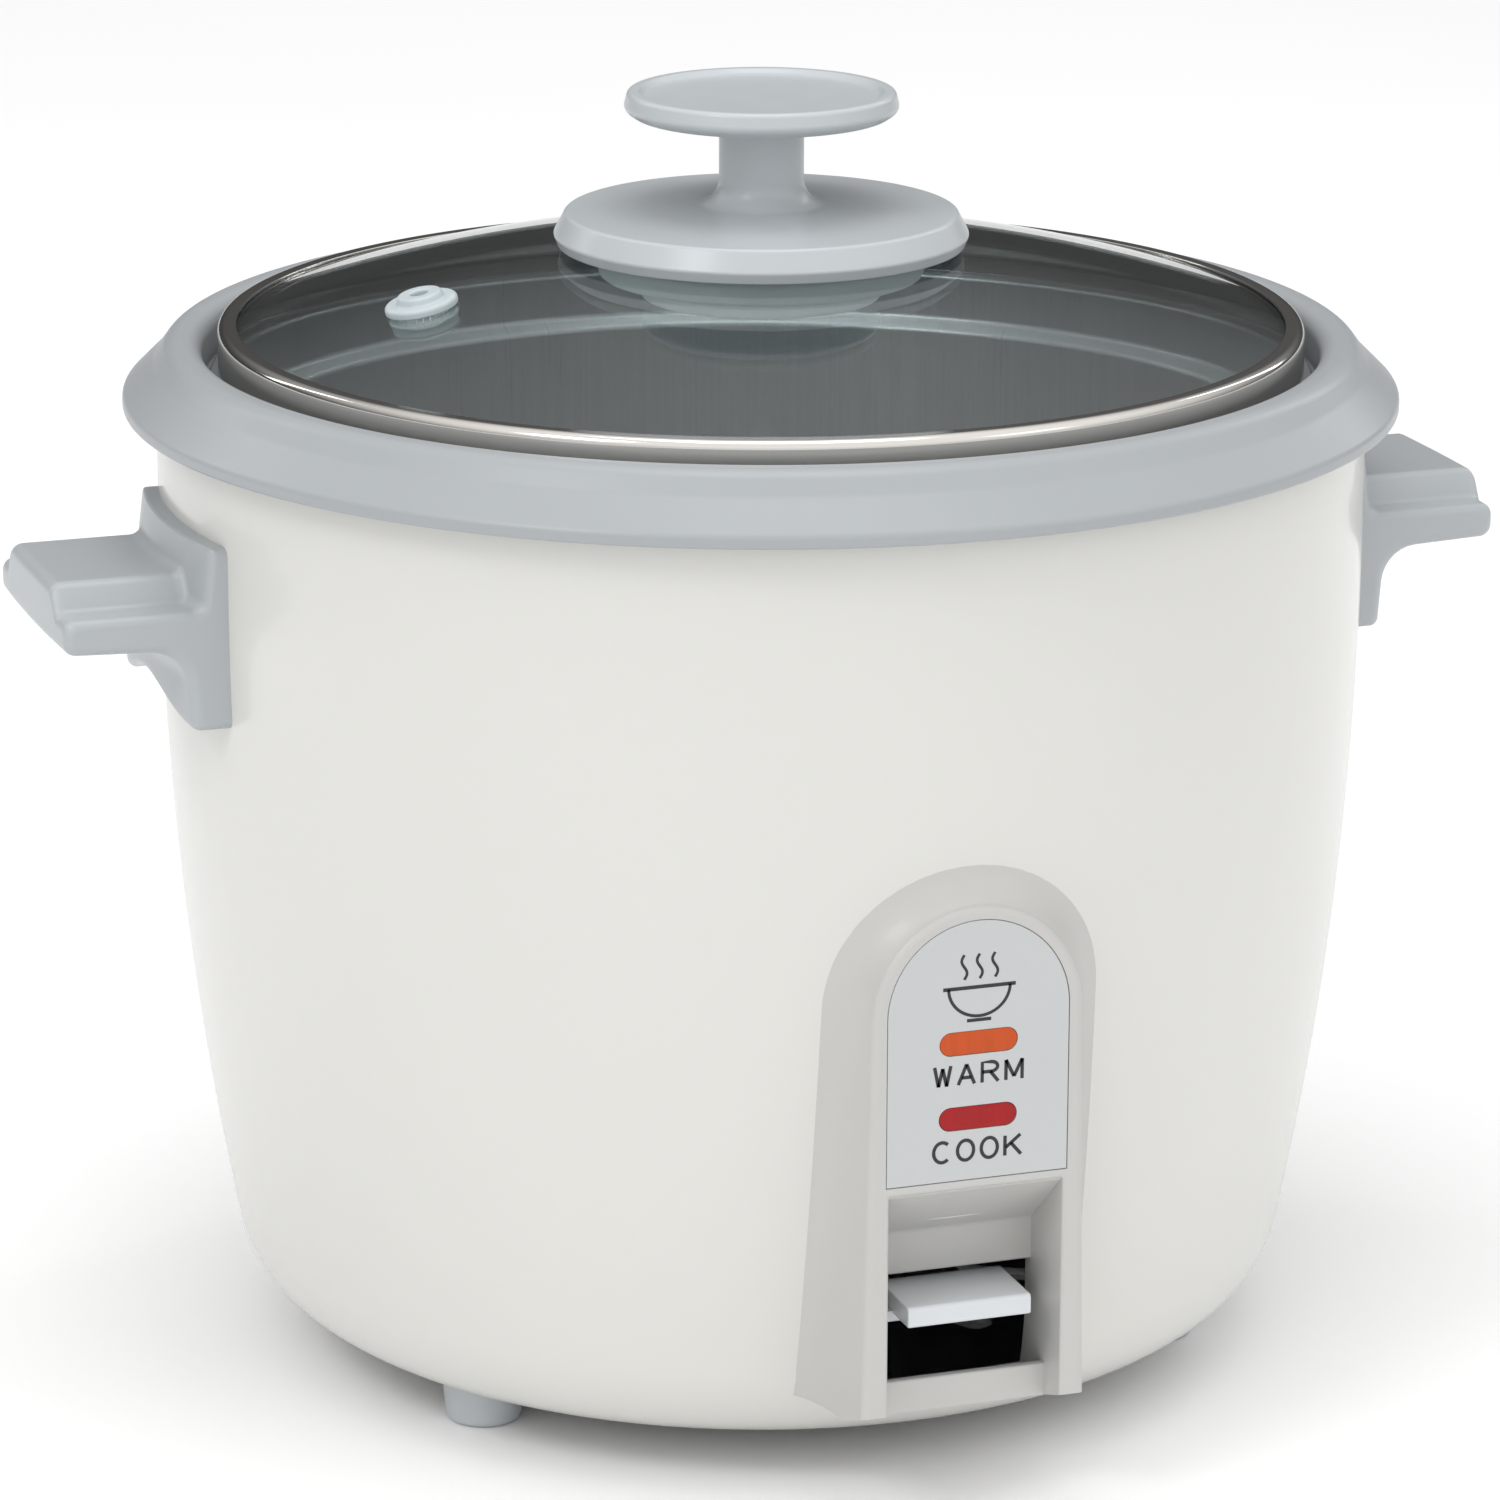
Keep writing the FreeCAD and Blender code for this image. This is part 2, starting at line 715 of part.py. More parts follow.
def make_control_housing():
    """Arched housing with a lamp chamber on top and the switch recess below it."""
    body = new_body("control_housing")
    front = sizes.front_plane
    foot = sizes.housing_base - 2.9
    outlines = [
        draw_arch(new_sketch(body, offset=front - setback), sizes.housing_foot_half_width + flare, foot,
                  sizes.arch_radius + flare * 0.8, sizes.arch_centre)
        for setback, flare in ((Size(24), Size(8.0)), (Size(0), Size(0)))]
    loft = body.newObject("PartDesign::AdditiveLoft", "flared_sides")
    loft.Profile = outlines[0]
    loft.Sections = [outlines[1]]
    loft.Ruled = True
    document.recompute()
    rounding = body.newObject("PartDesign::Fillet", "front_rounding")
    rounding.Base = (loft, [front_face_name(body, front)])
    rounding.Radius = 1.4
    document.recompute()
    groove(body, shell_form_corners())
    throat = draw_box(new_sketch(body, offset=front - 3), -THROAT_HALF_WIDTH, THROAT_HALF_WIDTH,
                      foot, THROAT_TOP)
    pad(body, throat, front - 3 - THROAT_BACK, reverse=True)
    recess = draw_outline(new_sketch(body, "YZ_Plane"), [
        (-front - 4, sizes.recess_top),
        (-front, sizes.recess_top),
        (-sizes.slot_plane, sizes.slot_top + 8.0, 1.5),
        (-sizes.slot_plane, sizes.slot_top),
        (-THROAT_BACK + 5, sizes.slot_top),
        (-THROAT_BACK + 5, foot + 2),
        (-sizes.sill_plane + 1.7, foot + 2),
        (-sizes.sill_plane + 1.7, sizes.sill_top),
        (-sizes.sill_plane, sizes.sill_top),
        (-sizes.sill_plane, foot - 4),
        (-front - 4, foot - 4),
    ])
    pocket(body, recess, sizes.recess_half_width * 2, both_ways=True)
    rail_feet = draw_outline(new_sketch(body, "YZ_Plane"), [
        (-front - 4, foot - 2), (-front - 4, sizes.housing_base + 1.6), (-sizes.sill_plane, foot),
        (-sizes.sill_plane, foot - 2)])
    pocket(body, rail_feet, 60, both_ways=True)
    pocket(body, draw_label(new_sketch(body, offset=front), 0.15), sizes.label_thickness)
    chamber = draw_box(new_sketch(body, offset=front - sizes.front_wall), -12.8, 12.8,
                       LAMP_CHAMBER_LOW, LAMP_CHAMBER_HIGH)
    pocket(body, chamber, 24)
    for height in (sizes.window_warm, sizes.window_cook):
        window = draw_outline(new_sketch(body, offset=front), pill_corners(height))
        pocket(body, window, sizes.front_wall + 1)
    for height, depth in HOUSING_SCREWS:
        hole = draw_circle(new_sketch(body), 0, height, sizes.screw_radius)
        pocket(body, hole, depth, reverse=True)
    return body


def draw_label(sketch, grow):
    half = sizes.label_half_width + grow
    return draw_arch(sketch, half, sizes.label_base - grow, half, sizes.arch_centre + 0.3)


def make_label_plate():
    body = new_body("label_plate")
    back = sizes.front_plane - sizes.label_thickness
    pad(body, draw_label(new_sketch(body, offset=back), 0.0), sizes.label_thickness)
    for height in (sizes.window_warm, sizes.window_cook):
        pocket(body, draw_outline(new_sketch(body, offset=sizes.front_plane), pill_corners(height)), 2)
    return body


def make_lamp(name, height):
    """A pill-shaped lens in the housing's front wall and the neon lamp behind it."""
    lens = new_body(f"lamp_window_{name}")
    back = sizes.front_plane - sizes.front_wall - 1.0
    pad(lens, draw_outline(new_sketch(lens, offset=back), pill_corners(height)), sizes.front_wall + 1.0)
    start = (-sizes.lamp_length.number / 2, -sizes.lamp_plane.number, height.number)
    tube = cylinder(sizes.lamp_radius, sizes.lamp_length, start, FreeCAD.Vector(1, 0, 0))
    tip = document.addObject("Part::Sphere", "lamp_tip")
    bind(tip, "Radius", sizes.lamp_radius)
    tip.Placement.Base = FreeCAD.Vector(-start[0], start[1], start[2])
    keep(fuse([tube, tip]), f"neon_lamp_{name}")


def make_lamp_holder():
    """Back plate that the two lamps lie on, with two pegs to the housing's front wall."""
    body = new_body("lamp_holder")
    back = sizes.lamp_plane - sizes.lamp_radius
    plate = draw_box(new_sketch(body, offset=back), -12.4, 12.4, sizes.window_cook - 5, sizes.window_warm + 5)
    pad(body, plate, 1.6, reverse=True)
    middle = (sizes.window_cook + sizes.window_warm) / 2
    for across in (-10.8, 10.8):
        peg = draw_circle(new_sketch(body, offset=back), across, middle, 1.6)
        pad(body, peg, sizes.front_plane - sizes.front_wall - back)
    return body


def make_housing_screws():
    screws = []
    for height, _ in HOUSING_SCREWS:
        drop = sizes.shell_knee.number + 62 - height
        skin = sizes.shell_radius.number - drop ** 2 / (2 * sizes.shell_side_bend.number)
        screws.append(screw((0, -skin + sizes.shell_wall.number + 0.5, height), (0, -1, 0), 4.2))
    group("housing_screws", screws)


# ---- heating plate and thermostat ---------------------------------------------------------------

FRAME_SCREWS = ((-22.0, 0.0), (22.0, 0.0))
ELEMENT_PINS = ((-12.0, 50.6), (12.0, 50.6))


def make_heating_plate():
    body = revolved_body("heating_plate", [
        (sizes.plate_hole_radius, sizes.plate_base),
        (sizes.plate_radius, sizes.plate_base),
        (sizes.plate_radius, sizes.plate_top, 2.0),
        (sizes.plate_hole_radius, sizes.plate_top, 0.6),
    ])
    boss_base = sizes.liner_floor + sizes.liner_wall
    bosses = new_sketch(body, "XY_Plane", boss_base)
    for angle in BOSS_ANGLES:
        across, up, _ = around(sizes.plate_boss_ring.number, angle, 0)
        draw_circle(bosses, across, up, sizes.plate_boss_radius)
    pad(body, bosses, sizes.plate_base - boss_base)
    frame_top = sizes.frame_base + sizes.frame_thickness
    posts = new_sketch(body, "XY_Plane", frame_top)
    for across, up in FRAME_SCREWS:
        draw_circle(posts, across, up, sizes.plate_boss_radius)
    pad(body, posts, sizes.plate_base - frame_top)
    channel = draw_circle(new_sketch(body), sizes.element_radius, ELEMENT_HEIGHT, sizes.element_tube_radius)
    revolve(body, channel, "PartDesign::Groove")
    holes = new_sketch(body, "XY_Plane", sizes.frame_base)
    for angle in BOSS_ANGLES:
        across, up, _ = around(sizes.plate_boss_ring.number, angle, 0)
        draw_circle(holes, across, up, sizes.screw_radius)
    for across, up in FRAME_SCREWS:
        draw_circle(holes, across, up, sizes.screw_radius)
    pocket(body, holes, 10.5, reverse=True)
    return body


def make_heating_element():
    """Tubular heater cast into the plate's underside, with two cold pins."""
    body = new_body("heating_element")
    revolve(body, draw_circle(new_sketch(body), sizes.element_radius, ELEMENT_HEIGHT,
                              sizes.element_tube_radius))
    pins = new_sketch(body, "XY_Plane", sizes.element_pin_base)
    for across, up in ELEMENT_PINS:
        draw_circle(pins, across, up, 2.4)
    pad(body, pins, ELEMENT_HEIGHT - sizes.element_pin_base)
    return body


def make_plate_screws():
    floor = sizes.liner_floor.number
    ring = sizes.plate_boss_ring.number
    group("plate_screws", [screw(around(ring, angle, floor), (0, 0, 1), 6.5) for angle in BOSS_ANGLES])
    base = sizes.frame_base.number
    group("frame_screws", [screw((across, up, base), (0, 0, 1), 6.5) for across, up in FRAME_SCREWS])


def make_switch_frame():
    """Steel frame under the plate: it guides the thermostat and carries the lever's pivot."""
    body = new_body("switch_frame")
    base = sizes.frame_base
    plate = draw_outline(new_sketch(body, "XY_Plane", base), [
        (-14, -52, 2.0), (14, -52, 2.0), (14, -15), (29, -15, 3.0), (29, 17, 3.0), (-29, 17, 3.0),
        (-29, -15, 3.0), (-14, -15)])
    pad(body, plate, sizes.frame_thickness)
    bore = draw_circle(new_sketch(body, "XY_Plane", base), 0, 0, sizes.carrier_radius + 0.5)
    pocket(body, bore, 5, reverse=True)
    holes = new_sketch(body, "XY_Plane", base)
    for across, up in FRAME_SCREWS:
        draw_circle(holes, across, up, sizes.screw_radius)
    pocket(body, holes, 5, reverse=True)
    setback = sizes.pivot_setback
    for side in (-1, 1):
        ear = draw_outline(new_sketch(body, "YZ_Plane", side * EAR_INNER), [
            (-setback - 6, sizes.pivot_height - 5.5, 3.0), (-setback + 6, sizes.pivot_height - 5.5, 3.0),
            (-setback + 6, base + 0.5), (-setback - 6, base + 0.5)])
        pad(body, ear, EAR_THICKNESS, reverse=side < 0)
    bores = draw_circle(new_sketch(body, "YZ_Plane"), -setback, sizes.pivot_height, sizes.pivot_radius)
    pocket(body, bores, 40, both_ways=True)
    return body


def make_lever_pin():
    reach = EAR_INNER + EAR_THICKNESS + 1.2
    place = (-reach.number, -sizes.pivot_setback.number, sizes.pivot_height.number)
    keep(cylinder(sizes.pivot_radius, reach * 2, place, FreeCAD.Vector(1, 0, 0)), "lever_pin")


def strip_height(setback):
    """Height of the lever strip's middle at y = -setback; it climbs gently towards the key."""
    return sizes.pivot_height + (setback - sizes.pivot_setback) / 12


def strip_corners(front, back):
    half = sizes.lever_thickness / 2
    return [
        (-front, strip_height(front) - half),
        (-back, strip_height(back) - half),
        (-back, strip_height(back) + half),
        (-front, strip_height(front) + half),
    ]


def make_switch_lever():
    body = new_body("switch_lever")
    strip = draw_outline(new_sketch(body, "YZ_Plane"), strip_corners(STRIP_FRONT, -STRIP_BACK))
    pad(body, strip, sizes.lever_half_width * 2, both_ways=True)
    hub = draw_circle(new_sketch(body, "YZ_Plane"), -sizes.pivot_setback, sizes.pivot_height,
                      sizes.pivot_radius + 2.2)
    pad(body, hub, (EAR_INNER - 0.6) * 2, both_ways=True)
    wing = draw_outline(new_sketch(body, "YZ_Plane"), strip_corners(PLUNGER_SETBACK + 3, PLUNGER_SETBACK - 3))
    pad(body, wing, PLUNGER_ACROSS + 3)
    fork = draw_box(new_sketch(body, "XY_Plane"), -2.7, 2.7, -5.0, 12.0)
    pocket(body, fork, 60, reverse=True)
    bore = draw_circle(new_sketch(body, "YZ_Plane"), -sizes.pivot_setback, sizes.pivot_height,
                       sizes.pivot_radius + sizes.running_fit)
    pocket(body, bore, 60, both_ways=True)
    return body


def make_switch_key():
    """White push key that slides over the lever's front end."""
    body = new_body("switch_key")
    top = sizes.key_base + sizes.key_thickness
    side_view = draw_box(new_sketch(body, "YZ_Plane"), -sizes.key_front, -sizes.key_back, sizes.key_base, top)
    block = pad(body, side_view, sizes.key_half_width * 2, both_ways=True)
    rounding = body.newObject("PartDesign::Fillet", "soft_edges")
    rounding.Base = (block, [front_face_name(body, sizes.key_front)])
    rounding.Radius = 0.7
    document.recompute()
    lip = draw_box(new_sketch(body, "YZ_Plane"), -sizes.key_lip_front, -sizes.key_lip_back,
                   sizes.key_base - sizes.key_lip_drop, sizes.key_base + 0.5)
    pad(body, lip, sizes.key_lip_half_width * 2, both_ways=True)
    socket = draw_outline(new_sketch(body, "YZ_Plane"), strip_corners(STRIP_FRONT, sizes.key_back - 2))
    pocket(body, socket, sizes.lever_half_width * 2, both_ways=True)
    return body


def make_microswitch():
    low = MICROSWITCH_BASE
    body = new_body("microswitch_body")
    case = draw_box(new_sketch(body, "XY_Plane", low), PLUNGER_ACROSS - 3.2, PLUNGER_ACROSS + 3.2,
                    -(PLUNGER_SETBACK + 9), -(PLUNGER_SETBACK - 9))
    pad(body, case, sizes.frame_base - low)
    well = draw_circle(new_sketch(body, "XY_Plane", low), PLUNGER_ACROSS, -PLUNGER_SETBACK, 1.1)
    pocket(body, well, 4.6, reverse=True)
    blades = []
    for offset in (-6.0, 0.0, 6.0):
        blade = document.addObject("Part::Box", "blade")
        blade.Length, blade.Width, blade.Height = 6.0, 3.0, 0.5
        blade.Placement.Base = FreeCAD.Vector(
            (PLUNGER_ACROSS + 3.2).number, -PLUNGER_SETBACK.number + offset - 1.5, low.number + 6)
        blades.append(blade)
    group("microswitch_blades", blades)
    plunger = cylinder(1.0, 3.2, (PLUNGER_ACROSS.number, -PLUNGER_SETBACK.number, PLUNGER_BASE.number))
    keep(plunger, "microswitch_plunger")


def make_sensor():
    wall = sizes.can_wall
    revolved_body("sensor_can", [
        (0, sizes.can_top - wall - 0.2),
        (sizes.can_radius - wall, sizes.can_top - wall - 0.2),
        (sizes.can_radius - wall, sizes.can_base),
        (sizes.can_radius, sizes.can_base),
        (sizes.can_radius, sizes.can_top, 0.5),
        (0, sizes.can_top),
    ])
    height = sizes.can_top - wall - 0.2 - sizes.ferrite_base
    keep(cylinder(sizes.ferrite_radius, height, (0, 0, sizes.ferrite_base.number)), "ferrite_disc")


def make_magnet():
    """The magnet on its carrier; the lever's fork works between the rod's two collars."""
    base = sizes.carrier_base
    collar = sizes.rod_radius + 2.6
    fork = strip_height(Size(0))
    play = sizes.lever_thickness / 2 + 0.8
    revolved_body("magnet_carrier", [
        (0, fork - play - 1.6),
        (collar, fork - play - 1.6),
        (collar, fork - play),
        (sizes.rod_radius, fork - play),
        (sizes.rod_radius, fork + play),
        (collar, fork + play),
        (collar, fork + play + 1.2),
        (sizes.rod_radius, fork + play + 1.2),
        (sizes.rod_radius, base),
        (sizes.carrier_radius, base),
        (sizes.carrier_radius, base + 1),
        (0, base + 1),
    ])
    height = sizes.magnet_top - base - 1
    keep(cylinder(sizes.magnet_radius, height, (0, 0, base.number + 1)), "magnet")


def make_spring(label, mean_radius, wire_radius, low, high, turns):
    """Helical spring of round wire, between two seats."""
    body = new_body(label)
    sketch = new_sketch(body)
    draw_circle(sketch, mean_radius, low + wire_radius, wire_radius)
    coil = body.newObject("PartDesign::AdditiveHelix", label + "_coil")
    coil.Profile = sketch
    coil.ReferenceAxis = (sketch, ["V_Axis"])
    coil.Mode = "pitch-height-angle"
    height = high - low - 2 * wire_radius
    bind(coil, "Height", height)
    bind(coil, "Pitch", height / turns)
    document.recompute()


def make_springs():
    frame_top = sizes.frame_base + sizes.frame_thickness
    make_spring("sensor_spring", sizes.ferrite_radius - 1.6, Size(0.45), frame_top, sizes.ferrite_base, 3)
    make_spring("magnet_spring", sizes.carrier_radius - 1.5, Size(0.35), sizes.carrier_base + 1,
                sizes.ferrite_base, 4)


# ---- other electrical pieces --------------------------------------------------------------------

def make_fuse():
    """Thermal fuse held under the liner's floor by a clip."""
    radius, length = Size(2.2), 14.0
    clip_length, clip_width, clip_height = 6.0, 7.0, 5.4
    floor = sizes.liner_floor.number
    place = (*FUSE_PLACE, floor - 2.6)
    keep(cylinder(radius, length, place, FreeCAD.Vector(1, 0, 0)), "thermal_fuse")
    block = document.addObject("Part::Box", "clip_block")
    block.Length, block.Width, block.Height = clip_length, clip_width, clip_height
    block.Placement.Base = FreeCAD.Vector(
        place[0] + (length - clip_length) / 2, place[1] - clip_width / 2, floor - clip_height)
    bore = cylinder(radius, length, place, FreeCAD.Vector(1, 0, 0))
    clip = document.addObject("Part::Cut", "clip")
    clip.Base = block
    clip.Tool = bore
    keep(clip, "fuse_clip")


def make_keep_warm_heater():
    """Curved strip heater on the liner's outer wall."""
    body = new_body("keep_warm_heater")
    strip = draw_box(new_sketch(body), sizes.liner_radius, sizes.liner_radius + sizes.heater_thickness,
                     sizes.heater_base, sizes.heater_top)
    turned = revolve(body, strip)
    turned.Angle = HEATER_SWEEP
    document.recompute()


def make_terminal_block():
    body = new_body("terminal_block")
    floor = sizes.shell_base + sizes.shell_wall + sizes.base_plate_thickness
    across, back = TERMINAL_PLACE
    half_width, half_depth, height, pitch = 14.0, 7.0, 9.0, 9.0
    block = draw_outline(new_sketch(body, "XY_Plane", floor), [
        (across + x * half_width, back + y * half_depth, 1.0)
        for x, y in ((-1, -1), (1, -1), (1, 1), (-1, 1))])
    pad(body, block, height)
    wells = new_sketch(body, "XY_Plane", floor + height)
    for step in (-1, 0, 1):
        draw_circle(wells, across + step * pitch, back, 2.6)
    pocket(body, wells, height - 3.0)


def make_power_inlet():
    """Recessed appliance inlet in the back of the shell; its flange follows the shell."""
    height = sizes.inlet_height
    half_width = sizes.inlet_half_width
    half_height = sizes.inlet_half_height
    face = sizes.inlet_face
    body = new_body("power_inlet")
    wide, tall = half_width + 7, half_height + 1.6
    flange = draw_outline(new_sketch(body, offset=-face), [
        (-wide, height - tall, 3.0), (wide, height - tall, 3.0),
        (wide, height + tall, 3.0), (-wide, height + tall, 3.0)])
    pad(body, flange, 16)
    groove(body, shell_form_corners())
    block = draw_box(new_sketch(body, offset=-face + 1), -half_width, half_width,
                     height - half_height, height + half_height)
    pad(body, block, 19)
    wide, tall, chamfer = half_width - 2, half_height - 2.3, 4.0
    socket = draw_outline(new_sketch(body, offset=-face), [
        (-wide, height - tall, 1.0), (wide, height - tall, 1.0), (wide, height + tall - chamfer),
        (wide - chamfer, height + tall), (chamfer - wide, height + tall), (-wide, height + tall - chamfer)])
    pocket(body, socket, 16, reverse=True)
    slots = new_sketch(body, offset=-face)
    for across, up in INLET_PINS:
        draw_box(slots, across - 1.0, across + 1.0, height + up - 2.0, height + up + 2.0)
    pocket(body, slots, 30, reverse=True)
    holes = new_sketch(body, offset=-face)
    for across in INLET_SCREWS:
        draw_circle(holes, across, height, sizes.screw_radius)
    pocket(body, holes, 16, reverse=True)
    pins = []
    for across, up in INLET_PINS:
        pin = document.addObject("Part::Box", "pin")
        pin.Length, pin.Width, pin.Height = 2.0, 21.0, 4.0
        pin.Placement.Base = FreeCAD.Vector(across - 1.0, face.number - 26, height.number + up - 2.0)
        pins.append(pin)
    group("inlet_pins", pins)
    group("inlet_screws", [
        screw((across, face.number, height.number), (0, -1, 0), 7.0) for across in INLET_SCREWS])


# ---- pan and lid --------------------------------------------------------------------------------

def make_inner_pan():
    wall = sizes.pan_wall
    outer = sizes.pan_radius
    neck = sizes.pan_neck_radius
    rim_top = sizes.pan_rim_base + wall
    revolved_body("inner_pan", [
        (0, sizes.pan_base),
        (outer, sizes.pan_base, sizes.pan_corner),
        (outer, sizes.pan_step, 1.5),
        (neck, sizes.pan_step + 2.0, 1.5),
        (neck, sizes.pan_rim_base),
        (sizes.pan_rim_radius, sizes.pan_rim_base, 0.5),
        (sizes.pan_rim_radius, rim_top, 0.5),
        (neck - wall, rim_top, 1.0),
        (neck - wall, sizes.pan_step + 2.6, 1.5),
        (outer - wall, sizes.pan_step + 0.6, 1.5),
        (outer - wall, sizes.pan_base + wall, sizes.pan_corner - wall),
        (0, sizes.pan_base + wall),
    ])


def dome_height(radius, sphere):
    """Height of a sphere about the dome's centre at a distance from the axis."""
    return sizes.dome_top - sizes.dome_radius + root(sphere * sphere - radius * radius)


def draw_dome(sketch):
    """Section of the glass: two concentric arcs between the knob's hole and the edge."""
    centre_up = sizes.dome_top - sizes.dome_radius
    centre = FreeCAD.Vector(0, centre_up.number, 0)
    outer, inner = sizes.dome_radius, sizes.dome_radius - sizes.dome_glass
    near, far = sizes.dome_hole_radius, sizes.dome_edge_radius
    arcs = []
    for sphere in (outer, inner):
        start = math.acos(far.number / sphere.number)
        end = math.acos(near.number / sphere.number)
        circle = Part.Circle(centre, FreeCAD.Vector(0, 0, 1), sphere.number)
        arc = sketch.addGeometry(Part.ArcOfCircle(circle, start, end))
        pin_point(sketch, arc, 3, 0, centre_up)
        index = sketch.addConstraint(Sketcher.Constraint("Radius", arc, sphere.number))
        bind(sketch, f"Constraints[{index}]", sphere)
        for place, reach in ((1, far), (2, near)):
            index = sketch.addConstraint(Sketcher.Constraint("DistanceX", -1, 1, arc, place, reach.number))
            bind(sketch, f"Constraints[{index}]", reach)
        arcs.append(arc)
    for place, reach in ((1, far), (2, near)):
        top = FreeCAD.Vector(reach.number, dome_height(reach, outer).number, 0)
        low = FreeCAD.Vector(reach.number, dome_height(reach, inner).number, 0)
        side = sketch.addGeometry(Part.LineSegment(top, low))
        sketch.addConstraint(Sketcher.Constraint("Coincident", side, 1, arcs[0], place))
        sketch.addConstraint(Sketcher.Constraint("Coincident", side, 2, arcs[1], place))
    return sketch


def vent_placement():
    """On the glass's outer surface, square to it, left of the knob."""
    tilt = math.degrees(math.asin(sizes.vent_ring.number / sizes.dome_radius.number))
    base = around(sizes.vent_ring.number, VENT_ANGLE, dome_height(sizes.vent_ring, sizes.dome_radius).number)
    turn = FreeCAD.Rotation(FreeCAD.Vector(0, 0, 1), VENT_ANGLE)
    lean = FreeCAD.Rotation(FreeCAD.Vector(0, 1, 0), tilt)
    return FreeCAD.Placement(FreeCAD.Vector(*base), turn * lean)


def make_glass_dome():
    blank = document.addObject("PartDesign::Body", "dome_blank")
    revolve(blank, draw_dome(new_sketch(blank)))
    hole = cylinder(sizes.vent_neck_radius, 20, (0, 0, 0))
    place = vent_placement()
    place.Base = place.Base - place.Rotation.multVec(FreeCAD.Vector(0, 0, 10))
    hole.Placement = place
    glass = document.addObject("Part::Cut", "glass")
    glass.Base = blank
    glass.Tool = hole
    document.recompute()
    keep(glass, "glass_dome")


def make_vent_grommet():
    neck = sizes.vent_neck_radius
    bore = sizes.vent_hole_radius
    under = -sizes.dome_glass - 0.1
    body = revolved_body("vent_grommet", [
        (bore, under - 2.4),
        (neck + 1.2, under - 2.4, 0.8),
        (neck + 1.6, under),
        (neck, under),
        (neck, 0.1),
        (sizes.vent_radius, 0.1),
        (sizes.vent_radius, 1.7, 0.7),
        (neck - 0.4, 1.7),
        (neck - 0.6, 3.0, 0.5),
        (bore, 3.0),
    ])
    body.Placement = vent_placement()


def make_lid_band():
    outer = sizes.band_radius
    skirt = outer - sizes.band_wall
    edge = sizes.dome_edge_radius + 0.05
    glass_low = dome_height(sizes.dome_edge_radius, sizes.dome_radius - sizes.dome_glass)
    revolved_body("lid_band", [
        (outer, sizes.band_base, 0.2),
        (outer, sizes.band_top, 1.2),
        (edge - 1.9, sizes.band_top, 0.15),
        (edge - 1.9, sizes.band_top - 0.4),
        (edge, sizes.band_top - 0.4),
        (edge, glass_low - 0.05),
        (edge - 1.5, glass_low - 0.05),
        (edge - 1.5, glass_low - 0.65),
        (skirt, glass_low - 0.65),
        (skirt, sizes.band_base, 0.2),
    ])


def make_knob():
    """Mushroom knob: dished top disc, stem and a wide hollow skirt over the glass."""
    top = sizes.knob_top
    under = top - sizes.knob_disc_thickness
    disc = sizes.knob_disc_radius
    stem = sizes.knob_stem_radius
    skirt = sizes.knob_skirt_radius
    base = sizes.knob_skirt_base
    shoulder = sizes.knob_skirt_top
    seat = sizes.dome_top + 0.1
    revolved_body("knob", [
        (KNOB_SCREW_RADIUS, seat),
        (11, seat),
        (11, shoulder - 2.0, 1.0),
        (skirt - 3.6, shoulder - 2.4, 1.0),
        (skirt - 2.4, base),
        (skirt - 0.8, base, 0.4),
        (skirt, base + 2.0, 0.8),
        (skirt - 2.1, shoulder, 1.0),
        (stem, shoulder + 1.6, 4.5),
        (stem, under - 0.6, 2.6),
        (disc - 2.0, under, 2.0),
        (disc, under + 1.4, 1.4),
        (disc - 0.8, top, 1.0),
        (disc - 2.8, top, 0.6),
        (disc - 3.8, top - 0.8, 0.8),
        (0, top - 1.2),
        (0, top - 8),
        (KNOB_SCREW_RADIUS, top - 8),
    ])


def make_knob_fixings():
    """Stepped disc, washer and screw that hold the knob through the glass."""
    step_top = sizes.dome_top - sizes.dome_glass - 1.7
    bore = KNOB_SCREW_RADIUS + 0.1
    revolved_body("knob_retainer", [
        (bore, step_top - 7.0),
        (21.5, step_top - 7.0, 1.0),
        (22.0, step_top - 3.4),
        (29.0, step_top - 3.4, 1.0),
        (30.0, step_top, 0.4),
        (bore, step_top),
    ])
    revolved_body("knob_washer", [
        (bore, step_top), (12, step_top), (12, step_top + 1.4), (bore, step_top + 1.4)])
    bearing = (0, 0, step_top.number - 7.0)
    fixing = screw(bearing, (0, 0, 1), 27.0, Size(4.0), Size(2.4), KNOB_SCREW_RADIUS)
    keep(fixing, "knob_screw")


# ---- places that several pieces share -----------------------------------------------------------

THROAT_HALF_WIDTH = Size(17.3)
THROAT_TOP = Size(53.0)
THROAT_BACK = sizes.liner_radius + 0.6
LAMP_CHAMBER_LOW = Size(66.5)
LAMP_CHAMBER_HIGH = Size(97.5)
ELEMENT_HEIGHT = sizes.plate_base + 2.4
EAR_INNER = Size(9.0)
EAR_THICKNESS = Size(1.6)
STRIP_FRONT = Size(103.0)
STRIP_BACK = Size(6.5)
PLUNGER_SETBACK = Size(25.0)
PLUNGER_ACROSS = Size(14.2)
MICROSWITCH_BASE = Size(36.2)
PLUNGER_BASE = strip_height(PLUNGER_SETBACK) + sizes.lever_thickness / 2 + 0.3
INLET_PINS = ((-7.0, -2.5), (7.0, -2.5), (0.0, 2.5))
INLET_SCREWS = (-17.6, 17.6)
TERMINAL_PLACE = (-34.0, 25.0)
FUSE_PLACE = (-42.0, -62.0)
KNOB_SCREW_RADIUS = Size(2.0)
VENT_ANGLE = 186.0
SHELL_FORM = make_shell_form()


